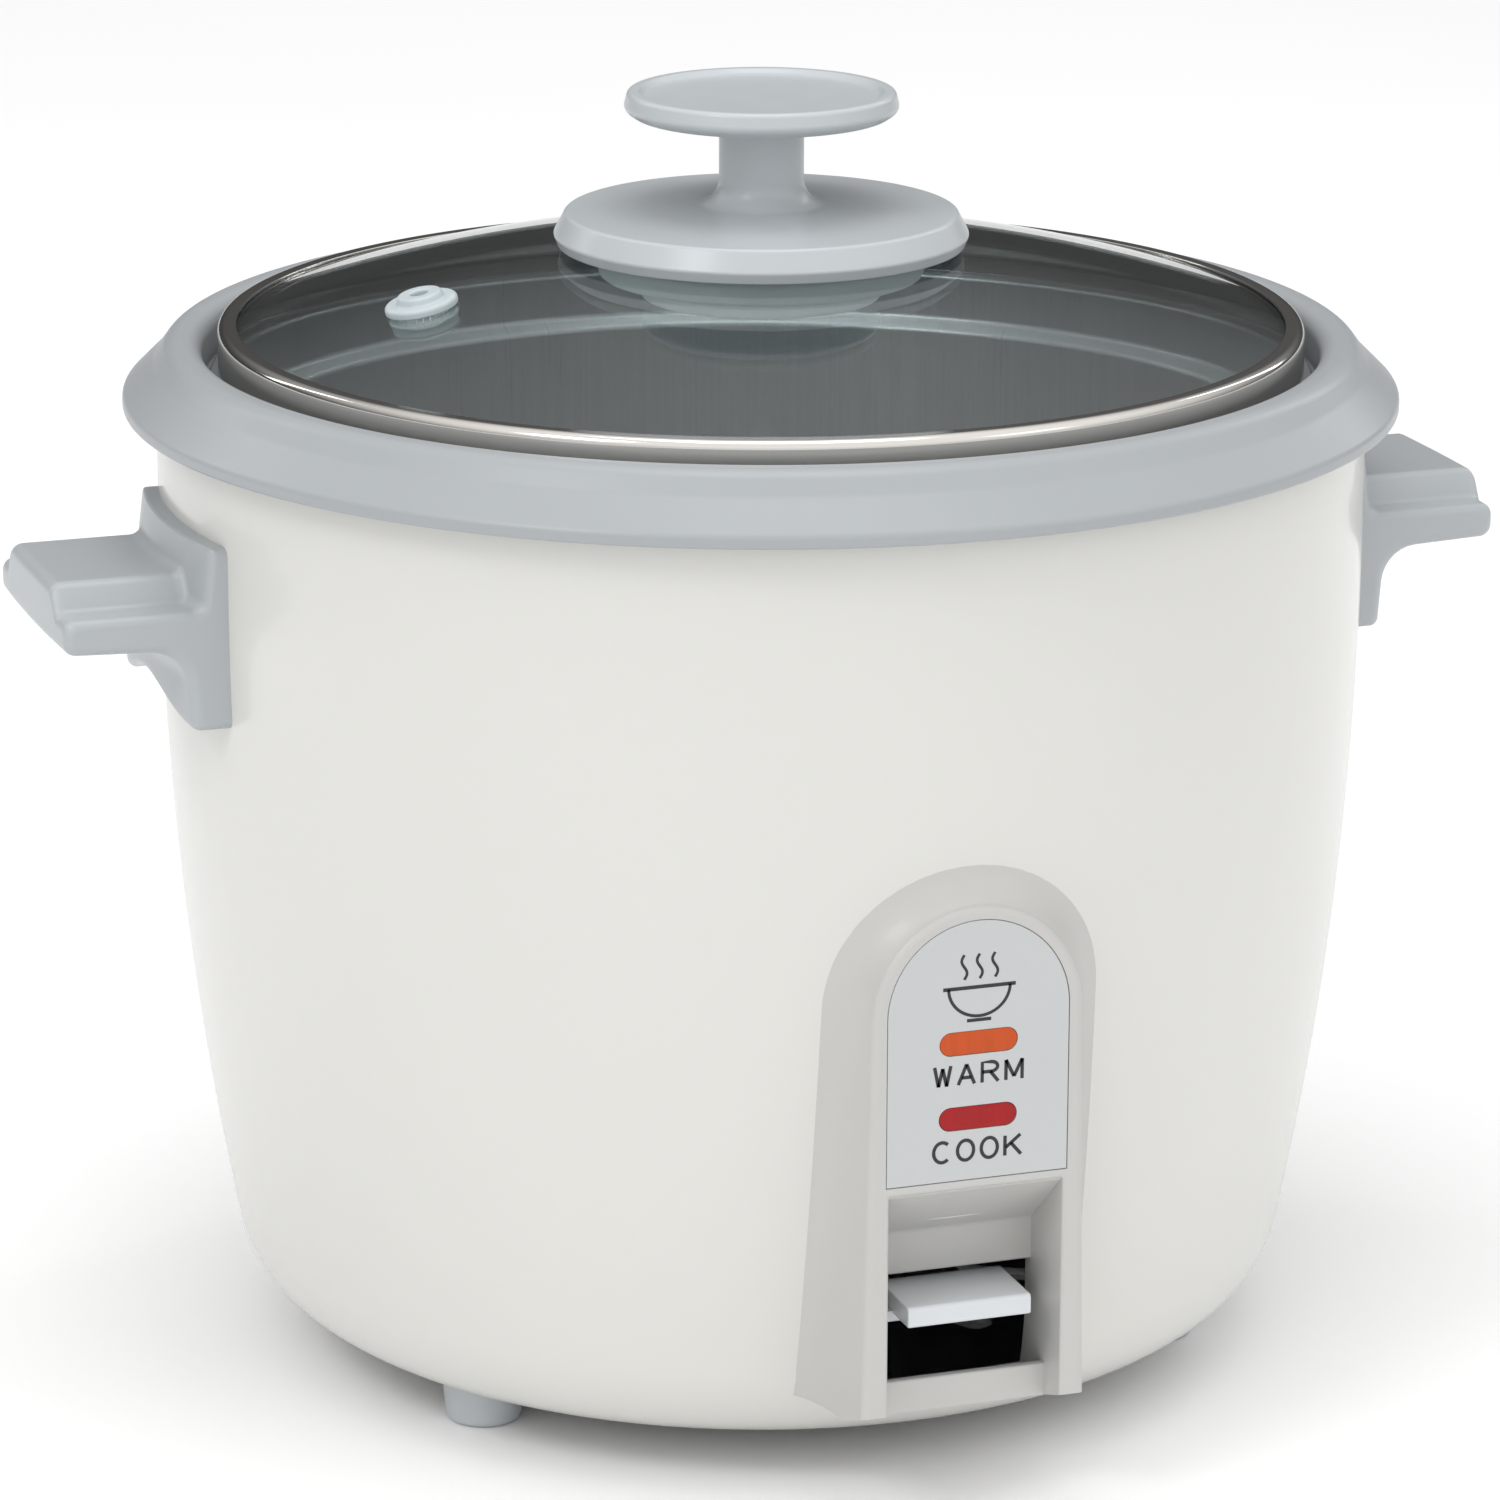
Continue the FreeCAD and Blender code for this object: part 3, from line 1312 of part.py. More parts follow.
def main():
    make_outer_shell()
    make_rim_ring()
    make_inner_liner()
    make_base_plate()
    for number, angle in enumerate(FOOT_ANGLES, start=1):
        make_foot(number, angle)
    make_base_fasteners()
    make_handle("handle_left", -1)
    make_handle("handle_right", 1)
    make_handle_screws()
    make_control_housing()
    make_label_plate()
    make_lamp("warm", sizes.window_warm)
    make_lamp("cook", sizes.window_cook)
    make_lamp_holder()
    make_housing_screws()
    make_heating_plate()
    make_heating_element()
    make_plate_screws()
    make_switch_frame()
    make_lever_pin()
    make_switch_lever()
    make_switch_key()
    make_microswitch()
    make_sensor()
    make_magnet()
    make_springs()
    make_fuse()
    make_keep_warm_heater()
    make_terminal_block()
    make_power_inlet()
    make_inner_pan()
    make_glass_dome()
    make_vent_grommet()
    make_lid_band()
    make_knob()
    make_knob_fixings()
    document.recompute()
    check_document()
    write_parts()


def check_document():
    for item in document.Objects:
        if "Invalid" in item.State or "Error" in item.State:
            raise ValueError(f"{item.Name} ({item.Label}) is {item.State}")
    for node in NODES:
        if node.Shape.isNull() or not node.Shape.isValid() or not node.Shape.Solids:
            raise ValueError(f"{node.Label} has no valid solid")


def write_parts():
    os.makedirs(PARTS_FOLDER, exist_ok=True)
    for node in NODES:
        node.Shape.exportStep(os.path.join(PARTS_FOLDER, f"{node.Label}.step"))
        print(f"{node.Label:22s} solids {len(node.Shape.Solids)} volume {node.Shape.Volume / 1000:8.2f} cm3")


main()
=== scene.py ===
"""One-switch rice cooker: the looks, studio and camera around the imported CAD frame.

Outlines are in millimetres; meshes are made in metres, in the CAD frame: +Z up, switch panel towards -Y.
"""

import json
import math

import bmesh
import bpy
from mathutils import Matrix, Vector


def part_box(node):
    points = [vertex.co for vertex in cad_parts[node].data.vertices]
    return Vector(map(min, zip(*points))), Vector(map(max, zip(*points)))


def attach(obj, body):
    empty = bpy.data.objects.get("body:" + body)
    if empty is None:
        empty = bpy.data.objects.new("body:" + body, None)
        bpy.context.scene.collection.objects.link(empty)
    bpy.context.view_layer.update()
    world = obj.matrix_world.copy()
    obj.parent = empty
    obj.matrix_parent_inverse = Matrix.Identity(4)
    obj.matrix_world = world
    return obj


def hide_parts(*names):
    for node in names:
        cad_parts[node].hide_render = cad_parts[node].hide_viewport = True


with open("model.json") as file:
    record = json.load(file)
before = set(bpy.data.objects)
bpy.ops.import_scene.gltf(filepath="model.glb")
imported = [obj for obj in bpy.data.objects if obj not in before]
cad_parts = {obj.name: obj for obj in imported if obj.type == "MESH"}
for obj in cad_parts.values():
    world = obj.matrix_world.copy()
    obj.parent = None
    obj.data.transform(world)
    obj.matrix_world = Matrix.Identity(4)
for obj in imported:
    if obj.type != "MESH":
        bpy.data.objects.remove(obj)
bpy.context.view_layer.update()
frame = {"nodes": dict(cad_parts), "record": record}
MM = 0.001


def reach(node):
    """The lowest and highest corner of a CAD node, in millimetres."""
    low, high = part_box(node)
    return low / MM, high / MM


# ---- driving sizes: the frame's own boxes first, then the rest, in millimetres ---------------------

SHELL_LOW, SHELL_HIGH = reach("outer_shell")
RING_LOW, RING_HIGH = reach("rim_ring")
KNOB_LOW, KNOB_HIGH = reach("knob")
BAND_LOW, BAND_HIGH = reach("lid_band")
PAN_LOW, PAN_HIGH = reach("inner_pan")
GRIP_LOW, GRIP_HIGH = reach("handle_right")
LABEL_LOW, LABEL_HIGH = reach("label_plate")
KEY_LOW, KEY_HIGH = reach("switch_key")
RETAINER_LOW, RETAINER_HIGH = reach("knob_retainer")

SHELL_RADIUS = SHELL_HIGH.x
SHELL_WALL = 1.2
SHELL_KNEE = 88.0
SHELL_FOOT_RADIUS = 94.8
SHELL_SIDE_BEND = 660.0
SHELL_CORNER_BEND = 21.0
SHELL_FLANGE_RADIUS = 68.0
CUT_INSIDE, CUT_OUTSIDE = 60.0, 130.0    # depths between which a cutter passes through the shell's wall
PLAY = 0.1                               # air between neighbouring pieces
RING_BORE = 101.5
RING_LEDGE = 180.4
RING_LEDGE_RADIUS = 98.9
FRONT = -reach("control_housing")[0].y
ARCH_CENTRE = 93.6
ARCH_RADIUS = 19.2
HOUSING_FOOT = 20.6
HOUSING_BASE = 22.4
SILL_BASE = 19.5
RECESS_HALF = 15.9
RECESS_TOP = 62.4
SLOT_PLANE = 99.5
SLOT_TOP = 42.4
THROAT_HALF = 17.3
THROAT_TOP = 53.0
THROAT_BACK = 97.0
SILL_PLANE = 106.6
SILL_TOP = 25.4
LABEL_HALF = LABEL_HIGH.x
LABEL_BASE = LABEL_LOW.z
LABEL_POCKET = 0.5
WINDOW_HALF_LENGTH = 7.1
WINDOW_HALF_HEIGHT = 2.1
WINDOW_HEIGHTS = {"warm": 88.7, "cook": 75.2}
BOWL_BRIM = 98.6
WORD_HEIGHTS = {"WARM": 83.1, "COOK": 69.4}
WORD_LENGTH = 17.4
LETTER_HEIGHT = 3.6
PRINT_DEPTH = 0.03
KEY_HALF = 11.4
KEY_BASE = 36.9
PAN_RADIUS = 94.0
PAN_NECK = 96.6
PAN_STEP = 170.0
PAN_WALL = 1.2
DOME_RADIUS = 307.0
DOME_TOP = 206.0
DOME_GLASS = 4.0
DOME_EDGE = 97.0
KNOB_HOLE = 4.6
VENT_HOLE = 4.6
VENT_RING = 66.4
VENT_ANGLE = math.radians(186.0)
FOOT_RING = 76.0
FOOT_ANGLES = (-150.0, -30.0, 90.0)

LATHE_STEPS = 192
CREASE = 38.0         # edges that turn by more than this many degrees stay sharp
FINE_CREASE = 30.0


# ---- mesh helpers -----------------------------------------------------------------------------------

def rounded(corners, closed=True, arc_steps=None):
    """Points of an outline given by corners (across, up[, radius]); arc_steps fixes each arc's count."""
    points = []
    count = len(corners)
    for index, (across, up, *bend) in enumerate(corners):
        corner = Vector((across, up))
        at_end = not closed and index in (0, count - 1)
        if at_end or not bend:
            points.append(corner)
            continue
        inward = (Vector(corners[index - 1][:2]) - corner).normalized()
        outward = (Vector(corners[(index + 1) % count][:2]) - corner).normalized()
        half = inward.angle(outward) / 2
        start = corner + inward * (bend[0] / math.tan(half))
        end = corner + outward * (bend[0] / math.tan(half))
        centre = corner + (inward + outward).normalized() * (bend[0] / math.sin(half))
        first = math.atan2(start.y - centre.y, start.x - centre.x)
        last = math.atan2(end.y - centre.y, end.x - centre.x)
        sweep = (last - first + math.pi) % (2 * math.pi) - math.pi
        steps = arc_steps or max(3, math.ceil(abs(sweep) / math.radians(7)))
        for step in range(steps + 1):
            turn = first + sweep * step / steps
            points.append(centre + bend[0] * Vector((math.cos(turn), math.sin(turn))))
    return points


def solid(name, points, faces, sharp=CREASE):
    """A closed, smooth-shaded mesh object from points in millimetres."""
    mesh = bpy.data.meshes.new(name)
    mesh.from_pydata([Vector(point) * MM for point in points], [], faces)
    tidy_mesh(mesh, sharp)
    piece = bpy.data.objects.new(name, mesh)
    bpy.context.scene.collection.objects.link(piece)
    return piece


def tidy_mesh(mesh, sharp=CREASE):
    """Weld what meets, face the normals outward, and keep only real edges sharp."""
    work = bmesh.new()
    work.from_mesh(mesh)
    bmesh.ops.remove_doubles(work, verts=work.verts, dist=2e-6)
    bmesh.ops.dissolve_degenerate(work, edges=work.edges, dist=1e-6)
    bmesh.ops.recalc_face_normals(work, faces=work.faces)
    work.to_mesh(mesh)
    work.free()
    mesh.shade_smooth()
    mesh.set_sharp_from_angle(angle=math.radians(sharp))


def lathe(name, outline, steps=LATHE_STEPS):
    """Turn a closed outline of (radius, height) round the Z axis."""
    points = []
    for step in range(steps):
        turn = 2 * math.pi * step / steps
        points += [(r * math.cos(turn), r * math.sin(turn), z) for r, z in outline]
    count = len(outline)
    faces = []
    for step in range(steps):
        here, there = step * count, (step + 1) % steps * count
        for index in range(count):
            after = (index + 1) % count
            faces.append((here + index, here + after, there + after, there + index))
    return solid(name, points, faces)


def extrude(name, outline, place, low, high):
    """A prism: place(across, up, depth) puts each outline point at depth low and high."""
    count = len(outline)
    points = [place(a, b, low) for a, b in outline] + [place(a, b, high) for a, b in outline]
    faces = [tuple(range(count)), tuple(range(2 * count - 1, count - 1, -1))]
    faces += [(i, (i + 1) % count, (i + 1) % count + count, i + count) for i in range(count)]
    return solid(name, points, faces)


def facing_front(across, up, depth):
    """Outline seen from the front: depth is the distance in front of the axis."""
    return across, -depth, up


def facing_side(across, up, depth):
    """Outline seen from the side: its across runs towards the back, and depth to the right."""
    return depth, across, up


def facing_up(across, up, depth):
    """Outline seen from above: depth is the height."""
    return across, up, depth


def loft(name, rings, sharp=CREASE):
    """A closed solid through rings of equal point counts, capped at both ends."""
    count = len(rings[0])
    points = [point for ring in rings for point in ring]
    faces = [tuple(range(count)), tuple(range(len(points) - 1, len(points) - count - 1, -1))]
    for level in range(len(rings) - 1):
        base = level * count
        for index in range(count):
            after = (index + 1) % count
            faces.append((base + index, base + after, base + count + after, base + count + index))
    return solid(name, points, faces, sharp)


def combine(piece, tools, operation="DIFFERENCE", sharp=CREASE):
    """Cut tools from the piece, or join them to it, and leave one plain mesh."""
    for tool in tools:
        step = piece.modifiers.new("combine", "BOOLEAN")
        step.operation = operation
        step.object = tool
        step.solver = "EXACT"
    bake_modifiers(piece)
    for tool in tools:
        bpy.data.objects.remove(tool)
    tidy_mesh(piece.data, sharp)


def bake_modifiers(piece):
    """Replace the piece's mesh by what its modifiers make of it."""
    result = bpy.data.meshes.new_from_object(piece.evaluated_get(bpy.context.evaluated_depsgraph_get()))
    piece.modifiers.clear()
    piece.data = result


def soften(piece, width, segments, angle):
    """Round off the piece's sharp edges by a bevel."""
    bevel = piece.modifiers.new("bevel", "BEVEL")
    bevel.width = width * MM
    bevel.segments = segments
    bevel.limit_method = "ANGLE"
    bevel.angle_limit = math.radians(angle)
    bevel.harden_normals = False
    bake_modifiers(piece)
    tidy_mesh(piece.data)


def join(name, pieces):
    """One object from several separate closed meshes."""
    work = bmesh.new()
    for piece in pieces:
        piece.data.transform(piece.matrix_world)
        work.from_mesh(piece.data)
        bpy.data.objects.remove(piece)
    mesh = bpy.data.meshes.new(name)
    work.to_mesh(mesh)
    work.free()
    mesh.shade_smooth()
    mesh.set_sharp_from_angle(angle=math.radians(CREASE))
    joined = bpy.data.objects.new(name, mesh)
    bpy.context.scene.collection.objects.link(joined)
    return joined


def settle(piece, body, slot, *nodes):
    """Give a finished piece its material and its body, and hide the CAD nodes that it stands for."""
    weights = piece.modifiers.new("weights", "WEIGHTED_NORMAL")
    weights.keep_sharp = True
    piece.data.materials.clear()
    piece.data.materials.append(MATERIALS[slot])
    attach(piece, body)
    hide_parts(*nodes)


# ---- materials --------------------------------------------------------------------------------------

class Finish:
    """One node material, built up socket by socket."""

    def __init__(self, name, **plain):
        self.material = bpy.data.materials.new(name)
        self.material.use_nodes = True
        self.tree = self.material.node_tree
        self.shader = self.tree.nodes["Principled BSDF"]
        self.output = self.tree.nodes["Material Output"]
        for socket, level in plain.items():
            self.shader.inputs[socket.replace("_", " ")].default_value = level
        self.place = self.tree.nodes.new("ShaderNodeTexCoord").outputs["Object"]

    def add(self, kind, feeds=(), **settings):
        """A new node; feeds gives each of its sockets a source to link or a plain value."""
        node = self.tree.nodes.new("ShaderNode" + kind)
        for name, setting in settings.items():
            setattr(node, name, setting)
        for socket, source in dict(feeds).items():
            if isinstance(source, bpy.types.NodeSocket):
                self.tree.links.new(source, node.inputs[socket])
            else:
                node.inputs[socket].default_value = source
        return node

    def link(self, source, socket):
        """Feed one of the shader's sockets."""
        self.tree.links.new(source, self.shader.inputs[socket])

    def math(self, operation, first, second=0.0):
        return self.add("Math", {0: first, 1: second}, operation=operation).outputs[0]

    def around(self):
        """Cylindrical place about the pot's axis: turn in radians, radius and height in metres."""
        parts = self.add("SeparateXYZ", {0: self.place}).outputs
        turn = self.math("ARCTAN2", parts["Y"], parts["X"])
        flat = self.add("CombineXYZ", {0: parts["X"], 1: parts["Y"]}).outputs[0]
        length = self.add("VectorMath", {0: flat}, operation="LENGTH").outputs["Value"]
        return self.add("CombineXYZ", {0: turn, 1: length, 2: parts["Z"]}).outputs[0]

    def stretched(self, place, scale):
        """The place with each axis scaled, for noise drawn out into lines."""
        return self.add("Mapping", {"Vector": place, "Scale": scale}).outputs[0]

    def noise(self, scale, detail=2.0, place=None, roughness=0.5):
        feeds = {"Vector": place or self.place, "Scale": scale, "Detail": detail, "Roughness": roughness}
        return self.add("TexNoise", feeds).outputs["Fac"]

    def between(self, share, low, high):
        """A number that goes from low to high with share."""
        return self.add("MapRange", {"Value": share, "From Min": 0.3, "From Max": 0.7,
                                     "To Min": low, "To Max": high}).outputs[0]

    def tint(self, share, dark, light):
        """A colour that goes from dark to light with share."""
        ramp = self.add("ValToRGB", {"Fac": share})
        ramp.color_ramp.elements[0].position = 0.3
        ramp.color_ramp.elements[1].position = 0.7
        ramp.color_ramp.elements[0].color = (*dark, 1)
        ramp.color_ramp.elements[1].color = (*light, 1)
        return ramp.outputs["Color"]

    def bump(self, height, distance, strength=1.0, below=None):
        feeds = {"Height": height, "Distance": distance, "Strength": strength}
        if below is not None:
            feeds["Normal"] = below
        return self.add("Bump", feeds).outputs["Normal"]


def shade(colour, share):
    """The colour made darker, or lighter, by a factor."""
    return tuple(min(1.0, c * share) for c in colour)


def moulded(name, colour, roughness, grain=2600.0, depth=6e-6, spread=0.012, **plain):
    """Injection-moulded plastic: a fine spark-eroded grain, faint flow marks and uneven gloss."""
    made = Finish(name, **plain)
    flow = made.noise(26.0, 4.0)
    speck = made.noise(grain, 2.0)
    made.link(made.tint(flow, shade(colour, 1 - spread), shade(colour, 1 + spread)), "Base Color")
    made.link(made.between(made.noise(180.0, 3.0), roughness - 0.02, roughness + 0.02), "Roughness")
    wave = made.bump(flow, 4e-6, 0.2)
    made.link(made.bump(speck, depth * 0.25, 0.5, wave), "Normal")
    return made.material


def enamel(name, colour):
    """Baked enamel on steel: a deep gloss over slight orange peel."""
    made = Finish(name, IOR=1.5, Coat_Weight=0.35, Coat_Roughness=0.06)
    patch = made.noise(11.0, 3.0)
    made.link(made.tint(patch, shade(colour, 0.994), shade(colour, 1.006)), "Base Color")
    made.link(made.between(made.noise(70.0, 1.0), 0.26, 0.27), "Roughness")
    made.link(made.bump(made.noise(420.0, 1.0), 1e-6, 0.4), "Normal")
    return made.material


# How much the lines of a metal are drawn out: round the axis, up the wall, or as a plain grain.
LINE_STRETCH = {"round": (1.5, 2200.0, 2200.0), "up": (240.0, 40.0, 25.0), "grain": (14.0, 900.0, 900.0)}


def metal(name, colour, roughness, lines=2.5e-6, along="round", spread=0.10):
    """Bare metal with fine lines, lines metres deep, drawn out as LINE_STRETCH says."""
    made = Finish(name, Metallic=1.0)
    brushed = made.noise(1.0, 4.0, made.stretched(made.around(), LINE_STRETCH[along]), 0.6)
    cloud = made.noise(30.0, 3.0)
    mixed = made.math("ADD", made.math("MULTIPLY", brushed, 0.8), made.math("MULTIPLY", cloud, 0.2))
    made.link(made.tint(mixed, shade(colour, 1 - spread), colour), "Base Color")
    made.link(made.between(mixed, roughness * 0.75, roughness * 1.3), "Roughness")
    made.link(made.bump(brushed, lines, 0.8), "Normal")
    return made.material


def cast(name, colour, roughness, depth=3e-5, metallic=1.0):
    """Cast or sintered stock with a sandy grain."""
    made = Finish(name, Metallic=metallic)
    grain = made.noise(900.0, 5.0)
    made.link(made.tint(grain, shade(colour, 0.8), colour), "Base Color")
    made.link(made.between(made.noise(120.0, 3.0), roughness * 0.85, roughness * 1.15), "Roughness")
    made.link(made.bump(grain, depth, 0.6), "Normal")
    return made.material


def turned_plate(name, colour):
    """Aluminium plate turned on a lathe: fine concentric rings."""
    made = Finish(name, Metallic=1.0)
    place = made.add("SeparateXYZ", {0: made.around()}).outputs["Y"]
    rings = made.math("SINE", made.math("MULTIPLY", place, 9000.0))
    cloud = made.noise(45.0, 4.0)
    made.link(made.tint(cloud, shade(colour, 0.86), colour), "Base Color")
    made.link(made.between(cloud, 0.30, 0.42), "Roughness")
    made.link(made.bump(rings, 8e-6, 0.5), "Normal")
    return made.material


def glass(name, tint, shadow_tint):
    """Tempered glass; lamps reach what is behind it."""
    made = Finish(name, IOR=1.5, Transmission_Weight=1.0)
    made.link(made.tint(made.noise(7.0, 2.0), shade(tint, 0.985), tint), "Base Color")
    made.link(made.between(made.noise(60.0, 5.0, roughness=0.7), 0.0, 0.012), "Roughness")
    clear = made.add("BsdfTransparent", {"Color": (*shadow_tint, 1)})
    ray = made.add("LightPath").outputs["Is Shadow Ray"]
    mixed = made.add("MixShader", {0: ray, 1: made.shader.outputs[0], 2: clear.outputs[0]})
    made.tree.links.new(mixed.outputs[0], made.output.inputs["Surface"])
    return made.material


def milky(name, colour, see_through, roughness=0.35, depth=2e-5, painted_glow=0.0):
    """Translucent rubber or plastic; painted_glow adds a painted glow, an emission in its own colour that
    lifts it though it is no lamp.
    """
    # Emission here is painted light: a glow on a part that is no lamp.
    made = Finish(name, IOR=1.41, Transmission_Weight=see_through, Emission_Strength=painted_glow)
    made.shader.inputs["Emission Color"].default_value = (*colour, 1)
    cloud = made.noise(160.0, 3.0)
    made.link(made.tint(cloud, shade(colour, 0.94), colour), "Base Color")
    made.link(made.between(made.noise(420.0, 2.0), roughness - 0.06, roughness + 0.06), "Roughness")
    made.link(made.bump(cloud, depth, 0.4), "Normal")
    return made.material


def lens(name, colour):
    """Coloured lamp lens with fine prisms behind its skin."""
    made = Finish(name, IOR=1.36, Coat_Weight=0.08, Coat_Roughness=0.08)
    prism = made.noise(900.0, 1.0, made.stretched(made.place, (1.0, 1.0, 0.15)))
    made.link(made.tint(prism, shade(colour, 0.93), shade(colour, 1.04)), "Base Color")
    made.link(made.between(made.noise(300.0, 2.0), 0.28, 0.36), "Roughness")
    made.link(made.bump(prism, 4e-6, 0.5), "Normal")
    return made.material


def printed(name, colour):
    """Screen-printed ink, slightly uneven in cover."""
    made = Finish(name)
    cover = made.noise(2400.0, 3.0)
    made.link(made.tint(cover, shade(colour, 0.8), shade(colour, 1.25)), "Base Color")
    made.link(made.between(cover, 0.38, 0.5), "Roughness")
    return made.material


COOL_GREY = (0.350, 0.371, 0.386)
WARM_WHITE = (0.655, 0.650, 0.620)

MATERIALS = {
    "body_enamel": enamel("body_enamel", WARM_WHITE),
    "ring_plastic": moulded("ring_plastic", COOL_GREY, 0.36),
    # The handle, knob and foot plastics are the ring's grey made lighter: painted light, lit copies of one
    # grey plastic that lift parts rendering darker in shade.
    "handle_plastic": moulded("handle_plastic", shade(COOL_GREY, 1.14), 0.34),
    "knob_plastic": moulded("knob_plastic", shade(COOL_GREY, 1.38), 0.30),
    "foot_plastic": moulded("foot_plastic", shade(COOL_GREY, 1.35), 0.42),
    "housing_plastic": moulded("housing_plastic", (0.505, 0.500, 0.484), 0.36),
    "label_film": moulded("label_film", (0.505, 0.520, 0.522), 0.42, grain=5200.0, depth=3e-6, spread=0.008),
    "key_plastic": moulded("key_plastic", (0.62, 0.645, 0.665), 0.24, spread=0.01),
    "liner_steel": metal("liner_steel", (0.62, 0.63, 0.64), 0.36),
    "base_steel": metal("base_steel", (0.56, 0.57, 0.58), 0.42, along="grain"),
    "fastener_steel": metal("fastener_steel", (0.62, 0.62, 0.63), 0.30, along="grain"),
    "frame_steel": metal("frame_steel", (0.66, 0.66, 0.67), 0.34, along="grain"),
    "lever_steel": metal("lever_steel", (0.68, 0.68, 0.69), 0.32, along="grain"),
    "carrier_steel": metal("carrier_steel", (0.64, 0.64, 0.65), 0.30),
    "spring_steel": metal("spring_steel", (0.50, 0.50, 0.51), 0.30, along="grain"),
    "clip_steel": metal("clip_steel", (0.62, 0.62, 0.62), 0.36, along="grain"),
    "blade_brass": metal("blade_brass", (0.78, 0.60, 0.30), 0.28, along="grain"),
    "pin_nickel": metal("pin_nickel", (0.74, 0.72, 0.69), 0.20, along="grain"),
    "band_stainless": metal("band_stainless", (0.70, 0.675, 0.640), 0.12, 6e-7, spread=0.05),
    "pan_aluminium": metal("pan_aluminium", (0.53, 0.56, 0.58), 0.36, 8e-6, along="up", spread=0.16),
    "element_steel": cast("element_steel", (0.30, 0.29, 0.28), 0.55),
    "fuse_case": cast("fuse_case", (0.66, 0.64, 0.60), 0.34, 6e-6),
    "ferrite": cast("ferrite", (0.10, 0.10, 0.11), 0.62, 5e-5, 0.0),
    "magnet_alloy": cast("magnet_alloy", (0.26, 0.26, 0.27), 0.45),
    "plate_aluminium": turned_plate("plate_aluminium", (0.70, 0.71, 0.72)),
    "sensor_aluminium": turned_plate("sensor_aluminium", (0.76, 0.76, 0.77)),
    "holder_plastic": moulded("holder_plastic", (0.72, 0.70, 0.65), 0.5),
    "switch_plastic": moulded("switch_plastic", (0.035, 0.035, 0.038), 0.5),
    "plunger_plastic": moulded("plunger_plastic", (0.50, 0.04, 0.03), 0.35),
    "terminal_plastic": moulded("terminal_plastic", (0.74, 0.72, 0.66), 0.5),
    "inlet_plastic": moulded("inlet_plastic", (0.030, 0.030, 0.032), 0.42),
    "heater_mica": cast("heater_mica", (0.42, 0.34, 0.24), 0.55, 4e-5, 0.0),
    "lens_amber": lens("lens_amber", (0.520, 0.072, 0.008)),
    "lens_red": lens("lens_red", (0.330, 0.004, 0.006)),
    "lamp_glass": milky("lamp_glass", (0.85, 0.70, 0.58), 0.6, 0.2),
    "dome_glass": glass("dome_glass", (0.66, 0.70, 0.695), (0.74, 0.77, 0.765)),
    "vent_silicone": milky("vent_silicone", (0.72, 0.80, 0.83), 0.30),
    # The retainer's emission is a painted glow that brightens it under the glass.
    "retainer_plastic": milky("retainer_plastic", (0.84, 0.91, 0.92), 0.05, painted_glow=0.16),
    "washer_silicone": milky("washer_silicone", (0.72, 0.75, 0.77), 0.3),
}
INK = printed("label_ink", (0.016, 0.016, 0.018))

for subpart in frame["record"]["subparts"]:
    node = frame["nodes"][subpart["node"]]
    for material_slot in node.material_slots:
        material_slot.material = MATERIALS[subpart["material_slot"]]


# ---- shell, ring, feet ------------------------------------------------------------------------------

def shell_side(gap):
    """Corners of the shell's side from top to bottom, at a distance inside its outer face."""
    lean = 0.09
    return [
        (SHELL_RADIUS - gap, SHELL_KNEE + gap * lean, SHELL_SIDE_BEND),
        (SHELL_FOOT_RADIUS - gap * (1 + lean), SHELL_LOW.z + gap, SHELL_CORNER_BEND - gap),
    ]


SHELL_OUTSIDE = rounded([(SHELL_RADIUS, SHELL_HIGH.z), *shell_side(0.0), (SHELL_FLANGE_RADIUS, SHELL_LOW.z)],
                        closed=False, arc_steps=24)


def shell_radius(height):
    """The shell's outer radius at a height, between the outline's points."""
    for upper, lower in zip(SHELL_OUTSIDE, SHELL_OUTSIDE[1:]):
        if lower.y <= height <= upper.y and upper.y > lower.y:
            share = (height - lower.y) / (upper.y - lower.y)
            return lower.x + (upper.x - lower.x) * share
    return SHELL_OUTSIDE[0].x


def box_tool(name, low, high):
    """A box between two corners, to cut or join."""
    corners = [(low[0], low[2]), (high[0], low[2]), (high[0], high[2]), (low[0], high[2])]
    return extrude(name, corners, facing_front, -high[1], -low[1])


def make_shell():
    """Pressed shell with its openings for the switch's throat and the inlet."""
    outline = rounded([
        (SHELL_FLANGE_RADIUS, SHELL_LOW.z),
        (SHELL_FLANGE_RADIUS, SHELL_LOW.z + SHELL_WALL),
        *reversed(shell_side(SHELL_WALL)),
        (SHELL_RADIUS - SHELL_WALL, SHELL_HIGH.z),
        (SHELL_RADIUS, SHELL_HIGH.z),
        *shell_side(0.0)], arc_steps=24)
    shell = lathe("shell", outline)
    inlet_low, inlet_high = reach("power_inlet")
    throat = box_tool("throat_tool", (-THROAT_HALF - PLAY, -CUT_OUTSIDE, SILL_BASE - PLAY),
                      (THROAT_HALF + PLAY, -CUT_INSIDE, THROAT_TOP + PLAY))
    mouth_half, flange = 14.1, 1.5
    mouth = box_tool("mouth_tool", (-mouth_half, CUT_INSIDE, inlet_low.z + flange),
                     (mouth_half, CUT_OUTSIDE, inlet_high.z - flange))
    combine(shell, [throat, mouth])
    settle(shell, "cooker", "body_enamel", "outer_shell")


